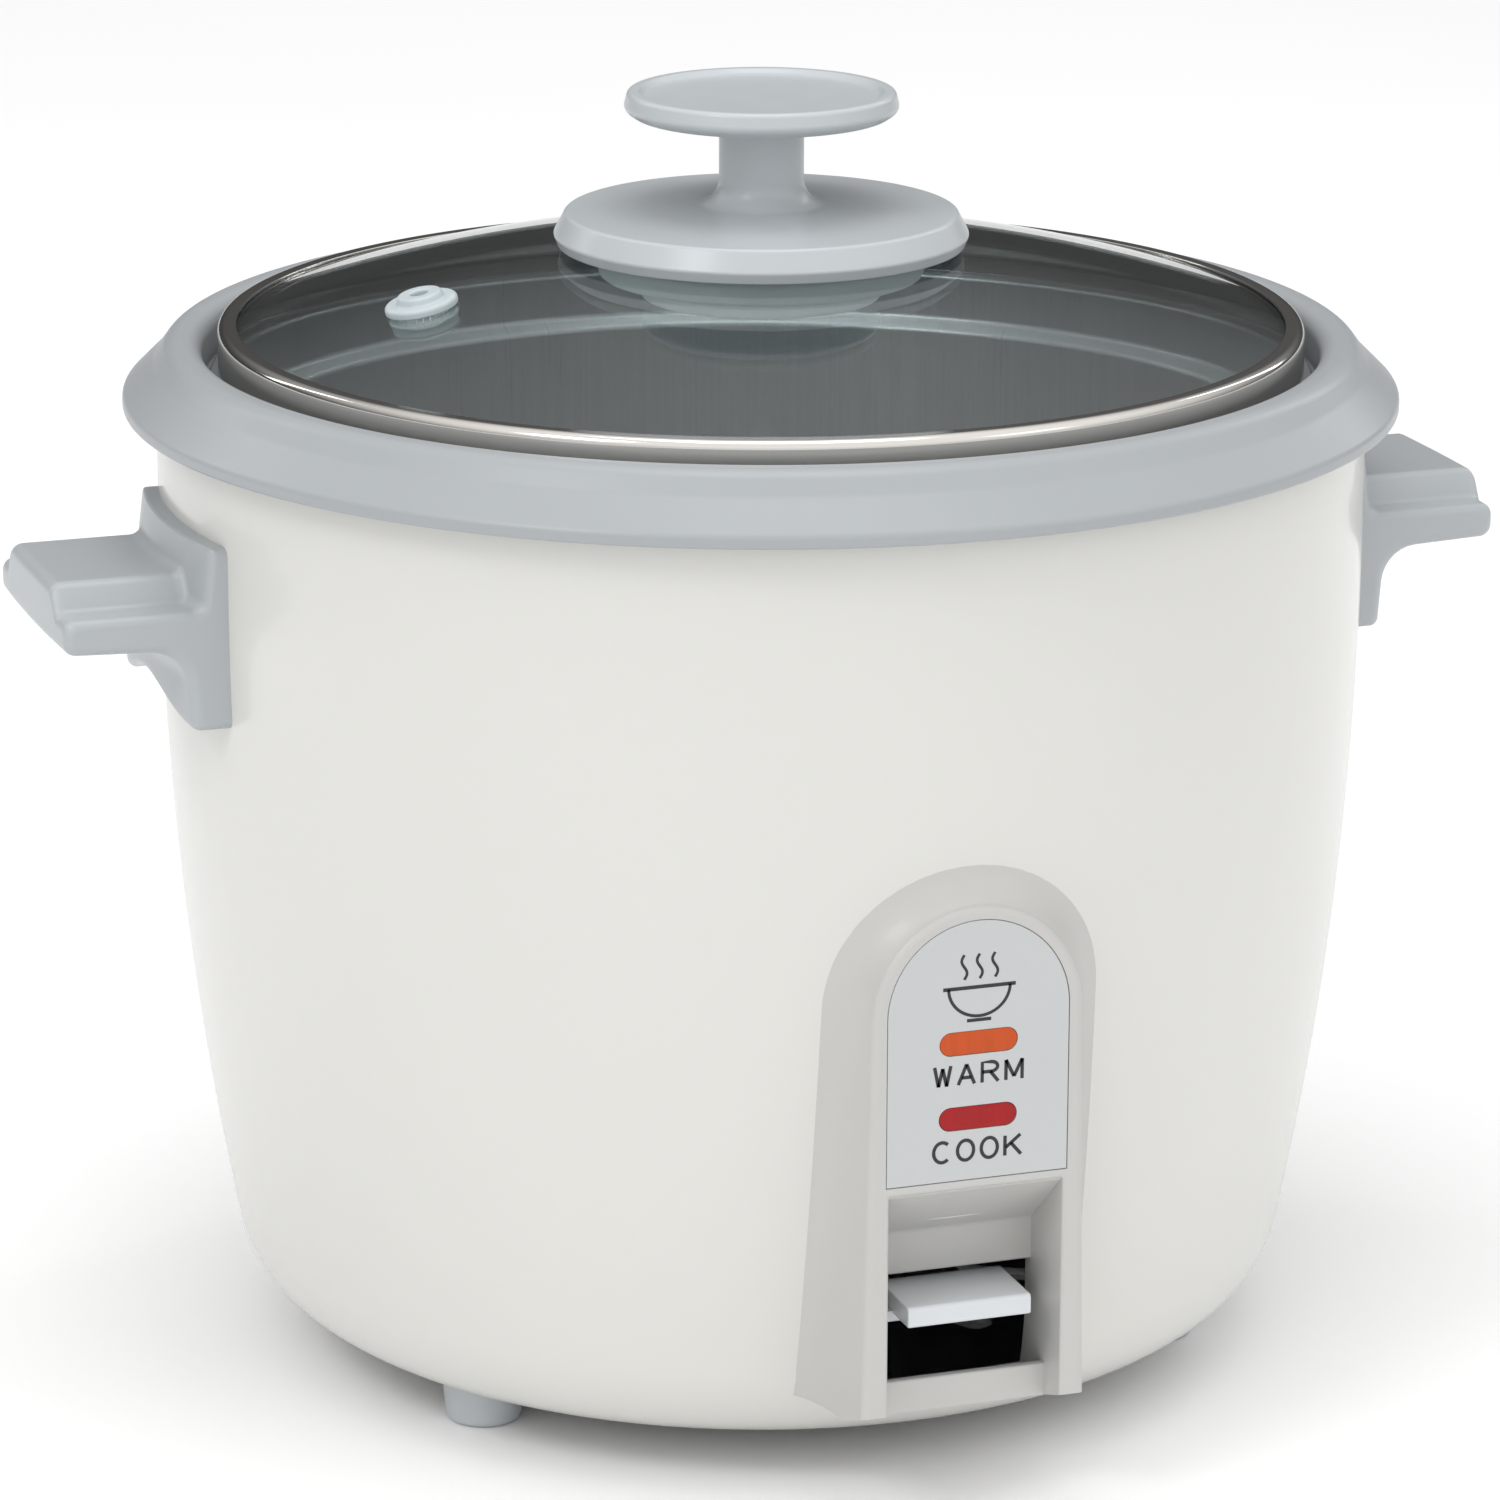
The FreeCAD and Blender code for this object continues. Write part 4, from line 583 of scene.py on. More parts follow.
def make_ring():
    """Rim ring: crown, sloping wall and lip outside, a ledge inside, and a groove over the shell's edge."""
    lip, crown = RING_HIGH.x, RING_HIGH.z
    groove_in = SHELL_RADIUS - SHELL_WALL - PLAY
    groove_out = SHELL_RADIUS + PLAY
    outline = rounded([
        (lip, RING_LOW.z, 0.6),
        (lip, RING_LOW.z + 2.2, 1.6),
        (lip - 5.6, crown - 4.0, 6.0),
        (lip - 8.5, crown, 3.6),
        (RING_BORE, crown, 3.0),
        (RING_BORE, RING_LEDGE, 0.6),
        (RING_LEDGE_RADIUS, RING_LEDGE, 0.3),
        (RING_LEDGE_RADIUS, RING_LEDGE - 1.2, 0.3),
        (groove_in, RING_LEDGE - 1.2),
        (groove_in, SHELL_HIGH.z + PLAY),
        (groove_out, SHELL_HIGH.z + PLAY),
        (groove_out, RING_LOW.z + 3.6, 0.6),
        (lip - 2.4, RING_LOW.z, 0.5),
    ])
    settle(lathe("ring", outline), "cooker", "ring_plastic", "rim_ring")


def make_feet():
    """Three turned feet, each with a pocket for its screw."""
    outline = rounded([(3.4, 0.0, 0.4), (6.8, 0.0, 1.2), (7.6, 8.1), (1.6, 8.1), (1.6, 3.0), (3.4, 3.0)])
    for number, angle in enumerate(FOOT_ANGLES, start=1):
        foot = lathe(f"foot{number}", outline, 64)
        turn = math.radians(angle)
        shift = Vector((math.cos(turn), math.sin(turn), 0)) * FOOT_RING * MM
        foot.data.transform(Matrix.Translation(shift))
        settle(foot, "cooker", "foot_plastic", f"foot_{number}")


# ---- handles ----------------------------------------------------------------------------------------

GRIP_END = GRIP_HIGH.x
GRIP_HALF = GRIP_HIGH.y
PLATE_BASE = GRIP_LOW.z
PLATE_TOP = GRIP_HIGH.z
PLATE_FACE = 116.8
LIP_FACE = 112.7
GRIP_UNDER = 144.2
GRIP_SHOULDER = 151.4
GRIP_RIDGE = 156.2
GRIP_STEPS = rounded([
    (-GRIP_HALF - 1, GRIP_SHOULDER),
    (-18.5, GRIP_SHOULDER, 1.8),
    (-15.5, GRIP_RIDGE, 2.4),
    (15.5, GRIP_RIDGE, 2.4),
    (18.5, GRIP_SHOULDER, 1.8),
    (GRIP_HALF + 1, GRIP_SHOULDER)], closed=False, arc_steps=5)


def grip_top(across):
    """Height of the grip's stepped top at a place across it."""
    for left, right in zip(GRIP_STEPS, GRIP_STEPS[1:]):
        if left.x <= across <= right.x:
            return left.y + (right.y - left.y) * (across - left.x) / (right.x - left.x)
    return GRIP_STEPS[0].y


def concentric(radius, across):
    """Distance outward of a circle about the pot's axis, at a place across the handle."""
    return math.sqrt(radius ** 2 - across ** 2)


def grip_section(across, inset):
    """Side view outline at a place across the handle, drawn in by inset near its rounded ends."""
    skin = concentric(SHELL_RADIUS - 0.5, across)
    face = concentric(PLATE_FACE, across) - inset
    lip = concentric(LIP_FACE, across) - inset * 0.6
    base = PLATE_BASE + 2.7 * (1 + math.cos(math.pi * across / GRIP_HALF)) + inset
    under = GRIP_UNDER + inset
    top = grip_top(across) - inset
    end = GRIP_END - inset - 0.6 * (across / GRIP_HALF) ** 2
    bend = min(2.2, 0.45 * (top - under - 0.9))
    return rounded([
        (skin, base),
        (face - 0.6, base, 1.6),
        (face + 0.5, under, 7.0),
        (end, under + 0.9, bend),
        (end, top, bend),
        (lip + 1.4, top, 2.4),
        (lip, PLATE_TOP - inset, 0.7),
        (skin, PLATE_TOP - inset),
    ], arc_steps=7)


def make_handle(label, side):
    """Moulded L-shaped handle whose plate and lip follow the shell; the grip is hollow underneath."""
    bend, bend_steps = 1.7, 5
    near_end = []
    for step in range(bend_steps + 1):
        turn = math.pi / 2 * (bend_steps - step) / bend_steps
        near_end.append((-GRIP_HALF + bend * (1 - math.sin(turn)), bend * (1 - math.cos(turn))))
    inner = [point.x for point in GRIP_STEPS if abs(point.x) < GRIP_HALF - bend - 0.2]
    inner += [-22.5, -20.8, -12.0, -8.0, -4.0, 0.0, 4.0, 8.0, 12.0, 20.8, 22.5]
    middle = [(place, 0.0) for place in sorted(inner)]
    far_end = [(-place, inset) for place, inset in reversed(near_end)]
    rings = [[(side * x, place, z) for x, z in grip_section(place, inset)]
             for place, inset in near_end + middle + far_end]
    handle = loft(label, rings, FINE_CREASE)
    low, high = PLATE_FACE + 3.6, GRIP_END - 3.4
    half = GRIP_HALF - 3.0
    hollow = rounded([(side * low, -half, 2.0), (side * high, -half, 2.4),
                      (side * high, half, 2.4), (side * low, half, 2.0)], arc_steps=6)
    hollow_base, hollow_roof = GRIP_UNDER - 10.0, GRIP_SHOULDER - 2.0
    combine(handle, [extrude("hollow_tool", hollow, facing_up, hollow_base, hollow_roof)], sharp=FINE_CREASE)
    settle(handle, "cooker", "handle_plastic", f"handle_{label.split('_')[1]}")


# ---- switch housing ---------------------------------------------------------------------------------

def arch(half_foot, low, radius, centre_up, side_steps=1, arc_steps=40):
    """(x, z, normal x, normal z) from the left foot round the top to the right foot."""
    drop = low - centre_up
    slant = math.atan2(drop, half_foot) + math.acos(radius / math.hypot(half_foot, drop))
    turned = [math.pi - slant - (math.pi - 2 * slant) * k / arc_steps for k in range(arc_steps + 1)]
    top = [(radius * math.cos(t), centre_up + radius * math.sin(t), math.cos(t), math.sin(t)) for t in turned]
    left = []
    for step in range(side_steps):
        share = step / side_steps
        left.append((-half_foot + (top[0][0] + half_foot) * share, low + (top[0][1] - low) * share,
                     top[0][2], top[0][3]))
    right = [(-x, z, -across, up) for x, z, across, up in reversed(left)]
    return left + top + right


HOUSING_EDGE = 1.4
FLARE = 7.6
FLARE_FOOT = 6.0
CUT_FLOOR = 12.0


def flare_at(height):
    """How far the housing's skirt spreads out over the shell, at a height."""
    share = (height - SILL_BASE) / (ARCH_CENTRE + ARCH_RADIUS - SILL_BASE)
    return FLARE_FOOT + (FLARE - FLARE_FOOT) * max(0.0, min(1.0, share))


def body_depth(across, height):
    """Distance of the shell's outer face in front of the axis."""
    return math.sqrt(max(1.0, shell_radius(max(height, SILL_BASE - 1.5)) ** 2 - across ** 2))


def housing_rings():
    """Rings from the front face over its rounded edge, down the hollow flare and in behind it."""
    slope = (HOUSING_FOOT - ARCH_RADIUS) / (ARCH_CENTRE - SILL_BASE)
    foot = HOUSING_FOOT + slope * (SILL_BASE - CUT_FLOOR)
    path = arch(foot, CUT_FLOOR, ARCH_RADIUS, ARCH_CENTRE, side_steps=26)
    rings = []
    for step in range(7):
        turn = math.radians(84) * step / 6
        shift = -HOUSING_EDGE + HOUSING_EDGE * math.sin(turn)
        depth = FRONT - HOUSING_EDGE * (1 - math.cos(turn))
        rings.append([(x + a * shift, -depth, z + b * shift) for x, z, a, b in path])
    flare_steps = 14
    for step in range(1, flare_steps + 1):
        share = step / flare_steps
        ring = []
        for x, z, a, b in path:
            flare = flare_at(z)
            start_depth = FRONT - HOUSING_EDGE * 0.9
            bend_depth = body_depth(x + a * flare * 0.3, z + b * flare * 0.3) + 0.2
            end_depth = body_depth(x + a * flare, z + b * flare) - 0.25
            shift = 2 * share * (1 - share) * flare * 0.34 + share ** 2 * flare
            depth = ((1 - share) ** 2 * start_depth + 2 * share * (1 - share) * bend_depth
                     + share ** 2 * end_depth)
            ring.append((x + a * shift, -depth, z + b * shift))
        rings.append(ring)
    for share in (0.95, 0.4, -0.4, -1.0, -1.6):
        ring = []
        for x, z, a, b in path:
            shift = flare_at(z) * share
            depth = body_depth(x + a * shift, z + b * shift) - 0.9
            ring.append((x + a * shift, -depth, z + b * shift))
        rings.append(ring)
    return rings


def flared_mouth(name, outline, edge, front):
    """Cutter that rounds the edge where an opening meets a front face."""
    centre = Vector((sum(p[0] for p in outline), sum(p[1] for p in outline))) / len(outline)
    rings = []
    for step in range(6):
        turn = math.radians(80) * step / 5
        grow = edge * (1 - math.cos(turn))
        depth = front - edge + edge * math.sin(turn)
        rings.append([grown(point, centre, grow, depth) for point in outline])
    rings.append([grown(point, centre, edge * 0.9, front + 0.6) for point in outline])
    return loft(name, rings)


def grown(point, centre, grow, depth):
    """An outline point pushed away from the centre by grow along each axis."""
    across = point[0] + math.copysign(grow, point[0] - centre.x)
    up = point[1] + math.copysign(grow, point[1] - centre.y)
    return across, -depth, up


def label_outline(grow):
    """The label's outline, grown on all sides."""
    half = LABEL_HALF + grow
    return [(x, z) for x, z, _, _ in arch(half, LABEL_BASE - grow, half, ARCH_CENTRE + 0.3, arc_steps=56)]


def pill(height, grow=0.0):
    """A lamp window's outline, centred at a height."""
    across, up = WINDOW_HALF_LENGTH + grow, WINDOW_HALF_HEIGHT + grow
    bend = up - 0.02
    return rounded([(-across, height - up, bend), (across, height - up, bend),
                    (across, height + up, bend), (-across, height + up, bend)], arc_steps=10)


def make_housing():
    """Flared housing with its throat, the key's recess, the label's pocket and the lamp windows."""
    housing = loft("housing", housing_rings(), FINE_CREASE)
    throat = box_tool("throat", (-THROAT_HALF, -FRONT + 2.5, CUT_FLOOR),
                      (THROAT_HALF, -THROAT_BACK, THROAT_TOP))
    combine(housing, [throat], "UNION", FINE_CREASE)
    recess = rounded([
        (-FRONT - 4, RECESS_TOP + 0.4),
        (-FRONT, RECESS_TOP),
        (-SLOT_PLANE, SLOT_TOP + 8.0, 1.5),
        (-SLOT_PLANE, SLOT_TOP, 0.4),
        (-THROAT_BACK + 3.0, SLOT_TOP),
        (-THROAT_BACK + 3.0, SILL_BASE + 2.0),
        (-SILL_PLANE + 1.7, SILL_BASE + 2.0),
        (-SILL_PLANE + 1.7, SILL_TOP, 0.4),
        (-SILL_PLANE, SILL_TOP, 0.4),
        (-SILL_PLANE, CUT_FLOOR - 4),
        (-FRONT - 4, CUT_FLOOR - 4)])
    hollow = extrude("recess", recess, facing_side, -RECESS_HALF, RECESS_HALF)
    mouth_corners = rounded([(-RECESS_HALF, CUT_FLOOR - 2), (RECESS_HALF, CUT_FLOOR - 2),
                             (RECESS_HALF, RECESS_TOP - 0.2, 0.5), (-RECESS_HALF, RECESS_TOP - 0.2, 0.5)],
                            arc_steps=4)
    mouth = flared_mouth("mouth", mouth_corners, 0.7, FRONT)
    pocket = extrude("pocket", label_outline(0.15), facing_front, FRONT - LABEL_POCKET, FRONT + 3)
    feet = extrude("feet", [(-FRONT - 8, CUT_FLOOR - 5), (-FRONT - 8, HOUSING_BASE + 2.6),
                            (-SILL_PLANE, SILL_BASE), (-60, SILL_BASE), (-60, CUT_FLOOR - 5)],
                   facing_side, -60, 60)
    windows = [extrude(f"window_{name}", pill(height), facing_front, FRONT - 6, FRONT + 3)
               for name, height in WINDOW_HEIGHTS.items()]
    combine(housing, [hollow, mouth, pocket, feet, *windows], sharp=FINE_CREASE)
    settle(housing, "cooker", "housing_plastic", "control_housing")


def make_label():
    """Label plate with a softened rim and two lamp windows."""
    rim = 0.12
    rings = []
    for step in range(4):
        turn = math.pi / 2 * step / 3
        rings.append([(x, -(FRONT - rim + rim * math.sin(turn)), z)
                      for x, z in label_outline(-rim * (1 - math.cos(turn)))])
    rings.insert(0, [(x, -(FRONT - LABEL_POCKET), z) for x, z in label_outline(0.0)])
    label = loft("label", rings)
    windows = [extrude("window", pill(height, 0.05), facing_front, FRONT - 3, FRONT + 3)
               for height in WINDOW_HEIGHTS.values()]
    combine(label, windows)
    settle(label, "cooker", "label_film", "label_plate")


def make_lenses():
    """Two lamp lenses, slightly crowned."""
    slack, shoulder, crown, bend = 0.03, 0.12, 0.2, 0.5
    for (name, height), slot in zip(WINDOW_HEIGHTS.items(), ("lens_amber", "lens_red")):
        rings = [[(x, -(FRONT - 3.2), z) for x, z in pill(height, -slack)]]
        for step in range(5):
            turn = math.pi / 2 * step / 4
            depth = FRONT - shoulder + crown * math.sin(turn)
            rings.append([(x, -depth, z) for x, z in pill(height, -slack - bend * (1 - math.cos(turn)))])
        settle(loft(f"lens_{name}", rings), "cooker", slot, f"lamp_window_{name}")


def stroke(name, centres, width, closed=False):
    """A drawn line of constant width through (x, z) points, on the label's face."""
    left, right = [], []
    count = len(centres)
    for index, point in enumerate(centres):
        before = centres[index - 1] if index or closed else point
        after = centres[(index + 1) % count] if index < count - 1 or closed else point
        along = (Vector(after) - Vector(before)).normalized()
        side = Vector((-along.y, along.x)) * width / 2
        left.append(Vector(point) + side)
        right.append(Vector(point) - side)
    outline = left + right[::-1]
    if not closed:
        return extrude(name, outline, facing_front, FRONT - PRINT_DEPTH, FRONT + PRINT_DEPTH)
    points, faces = [], []
    for depth in (FRONT - PRINT_DEPTH, FRONT + PRINT_DEPTH):
        points += [facing_front(*p, depth) for p in left] + [facing_front(*p, depth) for p in right]
    for i in range(count):
        j = (i + 1) % count
        for a, b in ((0, 1), (3, 2), (2, 0), (1, 3)):
            faces.append((a * count + i, a * count + j, b * count + j, b * count + i))
    return solid(name, points, faces)


def make_pictogram():
    """A plain steaming bowl, as any rice cooker could carry."""
    bowl_half, bowl_deep, steam_high, steam_steps = 5.6, 5.2, 4.4, 16
    bowl = ellipse((0.0, BOWL_BRIM), (bowl_half, bowl_deep), 180, 360)
    foot = BOWL_BRIM - bowl_deep - 0.7
    marks = [
        stroke("bowl", bowl + [(bowl_half, BOWL_BRIM)], 0.55),
        stroke("brim", [(-bowl_half - 1, BOWL_BRIM), (bowl_half + 1, BOWL_BRIM)], 0.65),
        stroke("foot", [(-2.2, foot), (2.2, foot)], 0.6),
    ]
    for across in (-2.8, 0.0, 2.8):
        wave = []
        for step in range(steam_steps + 1):
            share = step / steam_steps
            wave.append((across + 0.5 * math.sin(2 * math.pi * share), BOWL_BRIM + 1.5 + steam_high * share))
        marks.append(stroke("steam", wave, 0.5))
    return marks


def ellipse(centre, half, first, last, steps=24):
    """Points along an ellipse from one angle to another, in degrees."""
    turns = [math.radians(first + (last - first) * k / steps) for k in range(steps + 1)]
    return [(centre[0] + half[0] * math.cos(t), centre[1] + half[1] * math.sin(t)) for t in turns]


# Plain capitals, each a list of pen strokes in a box one unit wide and one unit high.
LETTERS = {
    "W": [[(0, 1), (0.25, 0)], [(0.25, 0), (0.5, 0.9)], [(0.5, 0.9), (0.75, 0)], [(0.75, 0), (1, 1)]],
    "A": [[(0, 0), (0.5, 1)], [(0.5, 1), (1, 0)], [(0.2, 0.34), (0.8, 0.34)]],
    "R": [[(0, 0), (0, 1), (0.55, 1), *ellipse((0.55, 0.76), (0.4, 0.24), 90, -90, 12), (0, 0.52)],
          [(0.5, 0.52), (1, 0)]],
    "M": [[(0, 0), (0, 1)], [(0, 1), (0.5, 0.15)], [(0.5, 0.15), (1, 1)], [(1, 1), (1, 0)]],
    "C": [ellipse((0.52, 0.5), (0.52, 0.5), 48, 312)],
    "O": [ellipse((0.5, 0.5), (0.5, 0.5), -90, 270)],
    "K": [[(0, 0), (0, 1)], [(0.95, 1), (0.04, 0.4)], [(0.36, 0.62), (1, 0)]],
}


def word(text, centre_up):
    """A generic word in plain capitals, one stroke after another."""
    pen = 0.62
    pitch = WORD_LENGTH / len(text)
    wide = pitch * 0.68
    marks = []
    for index, letter in enumerate(text):
        left = -WORD_LENGTH / 2 + pitch * index + (pitch - wide) / 2
        for line in LETTERS[letter]:
            centres = [(left + x * wide, centre_up + (z - 0.5) * LETTER_HEIGHT) for x, z in line]
            if letter == "O":
                marks.append(stroke(letter, centres[:-1], pen, closed=True))
            else:
                marks.append(stroke(letter, centres, pen))
    return marks


def make_print():
    """The label's print: pictogram and the two function words, as one thin piece of ink."""
    marks = make_pictogram()
    for text, centre_up in WORD_HEIGHTS.items():
        marks += word(text, centre_up)
    printed_marks = join("label_print", marks)
    printed_marks.data.materials.append(INK)
    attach(printed_marks, "cooker")


def make_key():
    """White push key with soft edges; its lower lip runs behind the housing's side walls."""
    top = KEY_HIGH.z
    side_view = rounded([(KEY_LOW.y, KEY_BASE, 0.5), (KEY_LOW.y, top, 0.9), (KEY_HIGH.y, top, 0.3),
                         (KEY_HIGH.y, KEY_BASE, 0.3)], arc_steps=5)
    block = extrude("key", side_view, facing_side, -KEY_HALF, KEY_HALF)
    soften(block, width=0.35, segments=3, angle=50)
    lip_front, lip_back, lip_top = -104.0, -100.0, KEY_BASE + 0.6
    lip_view = rounded([(lip_front, KEY_LOW.z, 0.3), (lip_front, lip_top), (lip_back, lip_top),
                        (lip_back, KEY_LOW.z, 0.3)], arc_steps=3)
    combine(block, [extrude("lip", lip_view, facing_side, KEY_LOW.x, KEY_HIGH.x)], "UNION")
    socket_half, socket_end = 5.0, -103.0
    socket = box_tool("socket", (-socket_half, socket_end, KEY_BASE + 0.55),
                      (socket_half, KEY_HIGH.y + 2, KEY_BASE + 3.0))
    combine(block, [socket])
    settle(block, "lever", "key_plastic", "switch_key")


# ---- pan and lid ------------------------------------------------------------------------------------

def make_pan():
    """Drawn pan: rounded floor corner, a step out to its neck, and a turned-out rim."""
    rim = PAN_HIGH.z
    corner = 12.0
    outline = rounded([
        (0, PAN_LOW.z),
        (PAN_RADIUS, PAN_LOW.z, corner),
        (PAN_RADIUS, PAN_STEP, 1.5),
        (PAN_NECK, PAN_STEP + 2.0, 1.5),
        (PAN_NECK, rim - PAN_WALL, 0.5),
        (PAN_HIGH.x, rim - PAN_WALL, 0.55),
        (PAN_HIGH.x, rim, 0.55),
        (PAN_NECK - PAN_WALL, rim, 1.0),
        (PAN_NECK - PAN_WALL, PAN_STEP + 2.6, 1.5),
        (PAN_RADIUS - PAN_WALL, PAN_STEP + 0.6, 1.5),
        (PAN_RADIUS - PAN_WALL, PAN_LOW.z + PAN_WALL, corner - PAN_WALL),
        (0, PAN_LOW.z + PAN_WALL),
    ], arc_steps=10)
    settle(lathe("pan", outline), "pan", "pan_aluminium", "inner_pan")


def dome_height(radius, sphere):
    """Height of the dome's outer or inner sphere at a distance from the axis."""
    return DOME_TOP - DOME_RADIUS + math.sqrt(sphere ** 2 - radius ** 2)


def make_glass():
    """Domed glass with a hole for the knob's screw and a bore for the vent."""
    steps = 40
    radii = [KNOB_HOLE + (DOME_EDGE - KNOB_HOLE) * k / steps for k in range(steps + 1)]
    outline = [(r, dome_height(r, DOME_RADIUS)) for r in radii]
    outline += [(r, dome_height(r, DOME_RADIUS - DOME_GLASS)) for r in reversed(radii)]
    dome = lathe("glass", outline)
    deep = 12
    bore = lathe("bore", [(0, -deep), (VENT_HOLE, -deep), (VENT_HOLE, deep), (0, deep)], 48)
    seat_vent(bore)
    combine(dome, [bore])
    settle(dome, "lid", "dome_glass", "glass_dome")


def seat_vent(piece):
    """Move a mesh from the origin to the vent's place, square to the glass."""
    tilt = math.asin(VENT_RING / DOME_RADIUS)
    turn = Matrix.Rotation(VENT_ANGLE, 4, "Z") @ Matrix.Rotation(tilt, 4, "Y")
    place = Vector((VENT_RING * math.cos(VENT_ANGLE), VENT_RING * math.sin(VENT_ANGLE),
                    dome_height(VENT_RING, DOME_RADIUS))) * MM
    piece.data.transform(Matrix.Translation(place) @ turn)


def make_vent():
    """Steam vent: a grommet with a flange on both sides of the glass."""
    under, over = -DOME_GLASS - PLAY, PLAY
    bore, flange = 1.6, 6.6
    outline = rounded([
        (bore, under - 2.4, 0.3),
        (flange - 0.8, under - 2.4, 0.9),
        (flange - 0.4, under, 0.2),
        (VENT_HOLE, under),
        (VENT_HOLE, over),
        (flange, over, 0.3),
        (flange, 1.7, 0.8),
        (4.2, 1.7, 0.3),
        (4.0, 3.0, 0.6),
        (bore, 3.0, 0.4)])
    vent = lathe("vent", outline, 72)
    seat_vent(vent)
    settle(vent, "lid", "vent_silicone", "vent_grommet")


def make_band():
    """Rolled steel band: a channel that grips the glass's edge, with a skirt below it."""
    outer, top, base = BAND_HIGH.x, BAND_HIGH.z, BAND_LOW.z
    sheet = 0.6
    edge = DOME_EDGE + 0.05
    seat = dome_height(DOME_EDGE, DOME_RADIUS - DOME_GLASS) - 0.05
    outline = rounded([
        (outer, base, 0.28),
        (outer - 0.1, base + 3.2, 6.0),
        (outer, top, 1.5),
        (edge - 1.9, top, 0.18),
        (edge - 1.9, top - 0.4),
        (edge, top - 0.4),
        (edge, seat),
        (edge - 1.5, seat),
        (edge - 1.5, seat - sheet),
        (outer - sheet, seat - sheet),
        (outer - sheet, base, 0.28)])
    settle(lathe("band", outline, 256), "lid", "band_stainless", "lid_band")


def make_knob():
    """Mushroom knob: hub on the glass, hollow skirt, stem, and a disc with a shallow dish in its top."""
    top, base = KNOB_HIGH.z, KNOB_LOW.z
    under = top - 4.6
    disc, stem, hub, skirt, bore = 25.0, 7.7, 11.0, 37.7, 2.0
    shoulder = 211.0
    outline = rounded([
        (bore, DOME_TOP + PLAY),
        (hub, DOME_TOP + PLAY),
        (hub, shoulder - 2.0, 1.0),
        (skirt - 3.6, shoulder - 2.4, 1.0),
        (skirt - 2.4, base, 0.2),
        (skirt - 0.8, base, 0.4),
        (skirt, base + 2.0, 0.8),
        (skirt - 2.1, shoulder, 1.0),
        (stem, shoulder + 1.6, 4.5),
        (stem, under - 0.6, 2.6),
        (disc - 2.0, under, 2.0),
        (disc, under + 1.4, 1.4),
        (disc - 0.8, top, 1.0),
        (disc - 2.8, top, 0.6),
        (disc - 3.8, top - 0.8, 0.8),
        (0, top - 1.2),
        (0, top - 8),
        (bore, top - 8)])
    settle(lathe("knob_turned", outline), "lid", "knob_plastic", "knob")


def make_retainer():
    """Stepped disc under the glass, with a groove in its lower face."""
    low, high = RETAINER_LOW.z, RETAINER_HIGH.z
    bore, flange = 2.1, low + 3.6
    outline = rounded([
        (bore, low),
        (13.5, low),
        (14.0, low + 1.0, 0.3),
        (17.5, low + 1.0, 0.3),
        (18.0, low, 0.3),
        (21.5, low, 1.0),
        (22.0, flange, 0.5),
        (29.0, flange, 1.0),
        (30.0, high, 0.5),
        (bore, high)])
    settle(lathe("retainer", outline, 144), "lid", "retainer_plastic", "knob_retainer")


# ---- studio -----------------------------------------------------------------------------------------

VIEW_AZIMUTH = math.radians(-19.2)
VIEW_ELEVATION = math.radians(16.19)
VIEW_ROLL = math.radians(0.18)
VIEW_DISTANCE = 1.2
VIEW_TARGET = Vector((0, 0, 0.1073))
VIEW_LENS = 155.24
VIEW_SHIFT = (-0.0064, 0.0067)


def direction(azimuth, elevation):
    """Unit vector from the object towards a viewer; azimuth 0 is straight in front."""
    return Vector((math.sin(azimuth) * math.cos(elevation), -math.cos(azimuth) * math.cos(elevation),
                   math.sin(elevation)))


def place_camera():
    """The camera, at the viewing angle."""
    data = bpy.data.cameras.new("camera")
    data.sensor_width = 36.0
    data.lens = VIEW_LENS
    data.shift_x, data.shift_y = VIEW_SHIFT
    data.clip_start, data.clip_end = 0.05, 50.0
    camera = bpy.data.objects.new("camera", data)
    back = direction(VIEW_AZIMUTH, VIEW_ELEVATION)
    camera.location = VIEW_TARGET + back * VIEW_DISTANCE
    camera.rotation_mode = "QUATERNION"
    roll = Matrix.Rotation(VIEW_ROLL, 3, "Z").to_quaternion()
    camera.rotation_quaternion = (-back).to_track_quat("-Z", "Y") @ roll
    bpy.context.scene.collection.objects.link(camera)
    bpy.context.scene.camera = camera


# name: azimuth and elevation in degrees, distance, width and height in metres, power in watts
SOFTBOXES = {
    "key": (-62, 42, 1.5, (0.4, 0.4), 3.4),
    "fill": (40, 30, 1.7, (0.5, 0.5), 0.4),
    "top": (0, 86, 1.5, (0.8, 0.8), 4.4),
    "rim_left": (-140, 28, 1.4, (0.12, 0.7), 1.0),
    "rim_right": (118, 28, 1.4, (0.12, 0.7), 1.0),
}
FLOOR_HALF = 6.0


def softbox(name, azimuth, elevation, distance, size, power):
    """A rectangular lamp that faces the object and stays out of the picture."""
    data = bpy.data.lights.new(name, "AREA")
    data.shape = "RECTANGLE"
    data.size, data.size_y = size
    data.energy = power
    lamp = bpy.data.objects.new(name, data)
    back = direction(math.radians(azimuth), math.radians(elevation))
    lamp.location = VIEW_TARGET + back * distance
    lamp.rotation_mode = "QUATERNION"
    lamp.rotation_quaternion = (-back).to_track_quat("-Z", "Y")
    lamp.visible_camera = False
    bpy.context.scene.collection.objects.link(lamp)


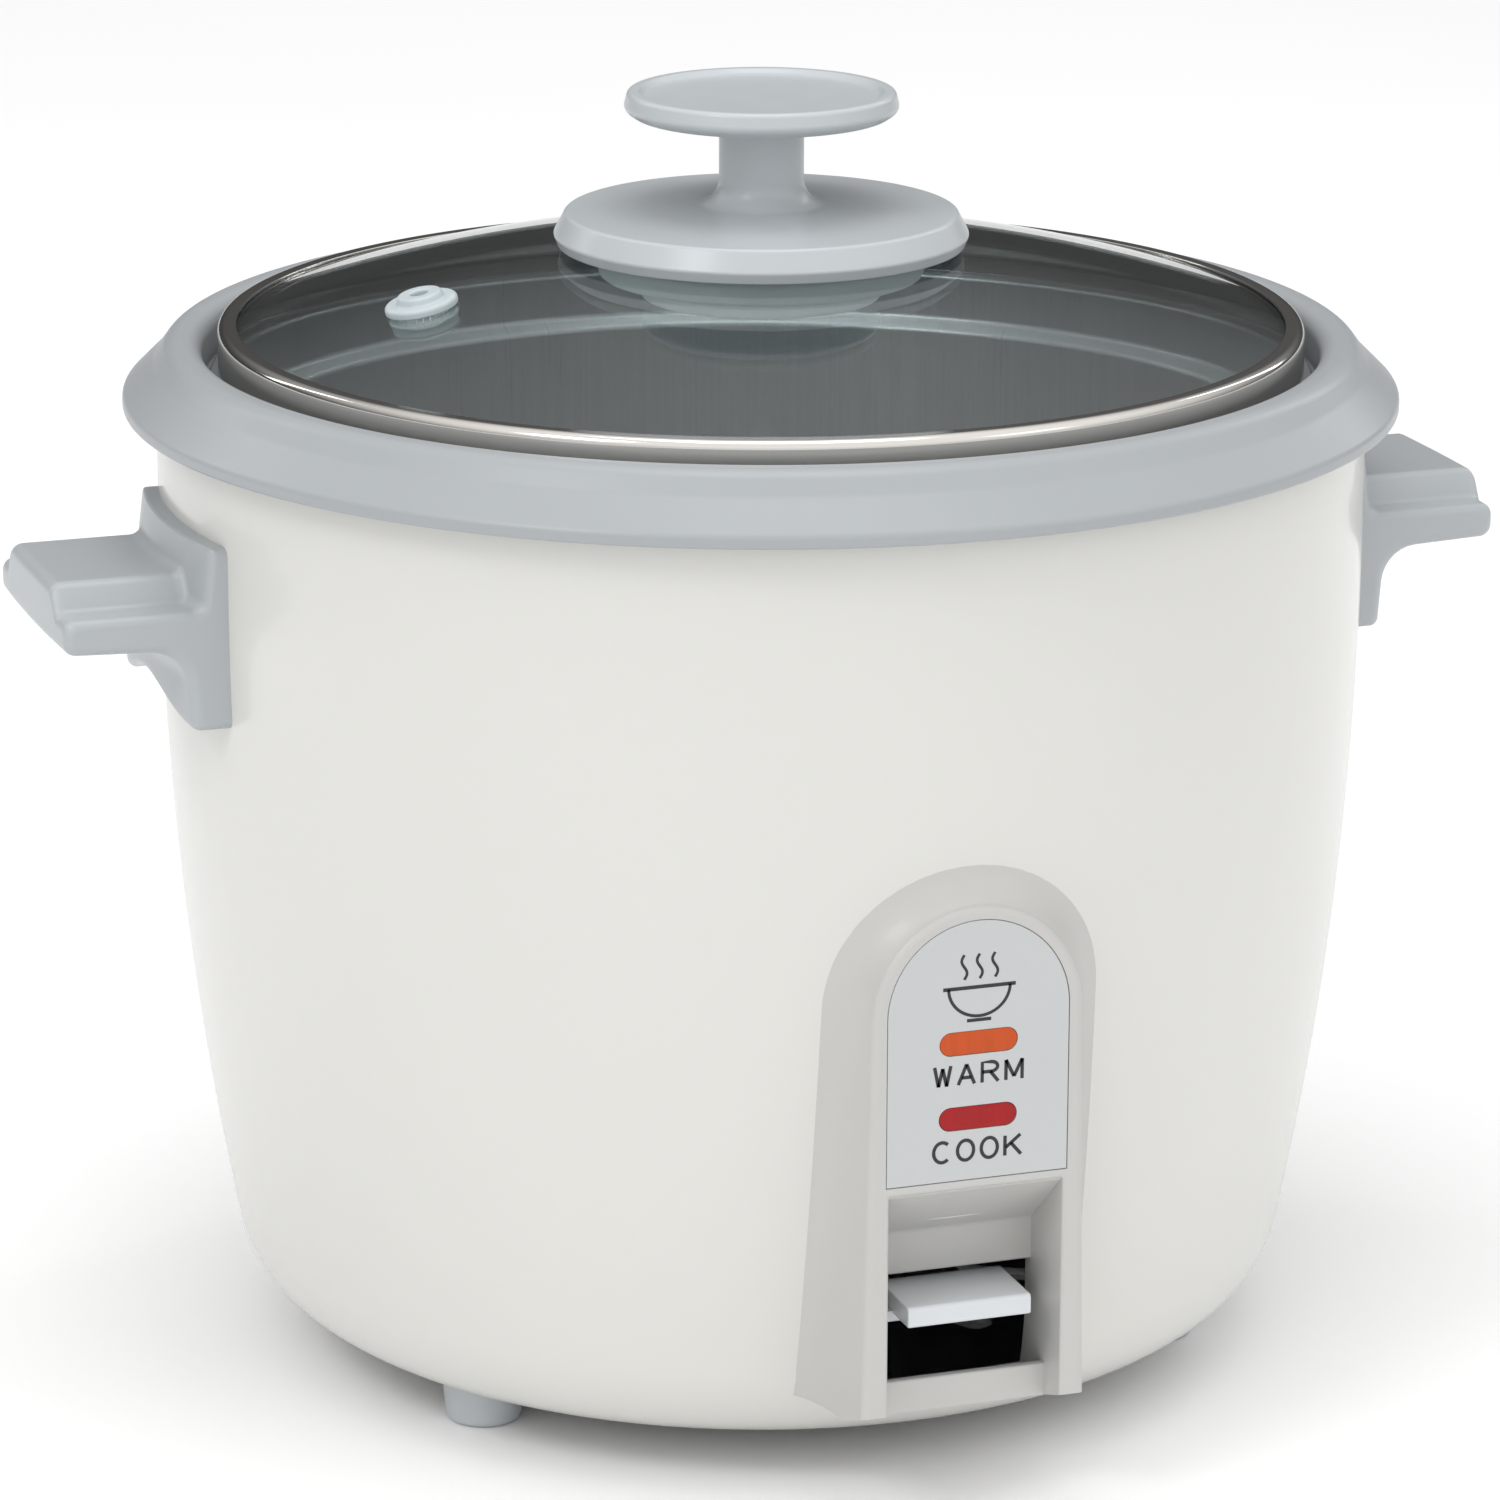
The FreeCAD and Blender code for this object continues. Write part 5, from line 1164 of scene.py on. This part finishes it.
def shade_world(tree):
    """A white room in front and overhead that falls off to a dim wall behind; white to the camera."""
    place = tree.nodes.new("ShaderNodeTexCoord").outputs["Generated"]
    lean = tree.nodes.new("ShaderNodeVectorMath")
    lean.operation = "DOT_PRODUCT"
    lean.inputs[1].default_value = (0.0, -0.45, 0.8)
    tree.links.new(place, lean.inputs[0])
    level = tree.nodes.new("ShaderNodeMapRange")
    level.interpolation_type = "SMOOTHSTEP"
    for socket, setting in (("From Min", -0.35), ("From Max", 0.75), ("To Min", 0.06), ("To Max", 1.15)):
        level.inputs[socket].default_value = setting
    tree.links.new(lean.outputs["Value"], level.inputs["Value"])
    seen = tree.nodes.new("ShaderNodeMix")
    seen.inputs["B"].default_value = 1.0
    tree.links.new(tree.nodes.new("ShaderNodeLightPath").outputs["Is Camera Ray"], seen.inputs["Factor"])
    tree.links.new(level.outputs["Result"], seen.inputs["A"])
    tree.links.new(seen.outputs["Result"], tree.nodes["Background"].inputs["Strength"])
    tree.nodes["Background"].inputs["Color"].default_value = (1.0, 1.0, 1.0, 1)


def build_studio():
    """World, lamps and a pale paper floor."""
    world = bpy.data.worlds.new("studio")
    world.use_nodes = True
    shade_world(world.node_tree)
    bpy.context.scene.world = world
    for name, setting in SOFTBOXES.items():
        softbox(name, *setting)
    work = bmesh.new()
    bmesh.ops.create_grid(work, x_segments=8, y_segments=8, size=FLOOR_HALF)
    mesh = bpy.data.meshes.new("floor")
    work.to_mesh(mesh)
    work.free()
    floor = bpy.data.objects.new("floor", mesh)
    bpy.context.scene.collection.objects.link(floor)
    paper = Finish("paper", Roughness=0.9)
    paper.link(paper.tint(paper.noise(3.0, 2.0), (0.945, 0.945, 0.945), (0.96, 0.96, 0.96)), "Base Color")
    mesh.materials.append(paper.material)
    bpy.context.scene.view_settings.view_transform = "Standard"


place_camera()
make_shell()
make_ring()
make_feet()
make_handle("grip_left", -1)
make_handle("grip_right", 1)
make_housing()
make_label()
make_lenses()
make_print()
make_key()
make_pan()
make_glass()
make_vent()
make_band()
make_knob()
make_retainer()
build_studio()

bpy.context.view_layer.update()
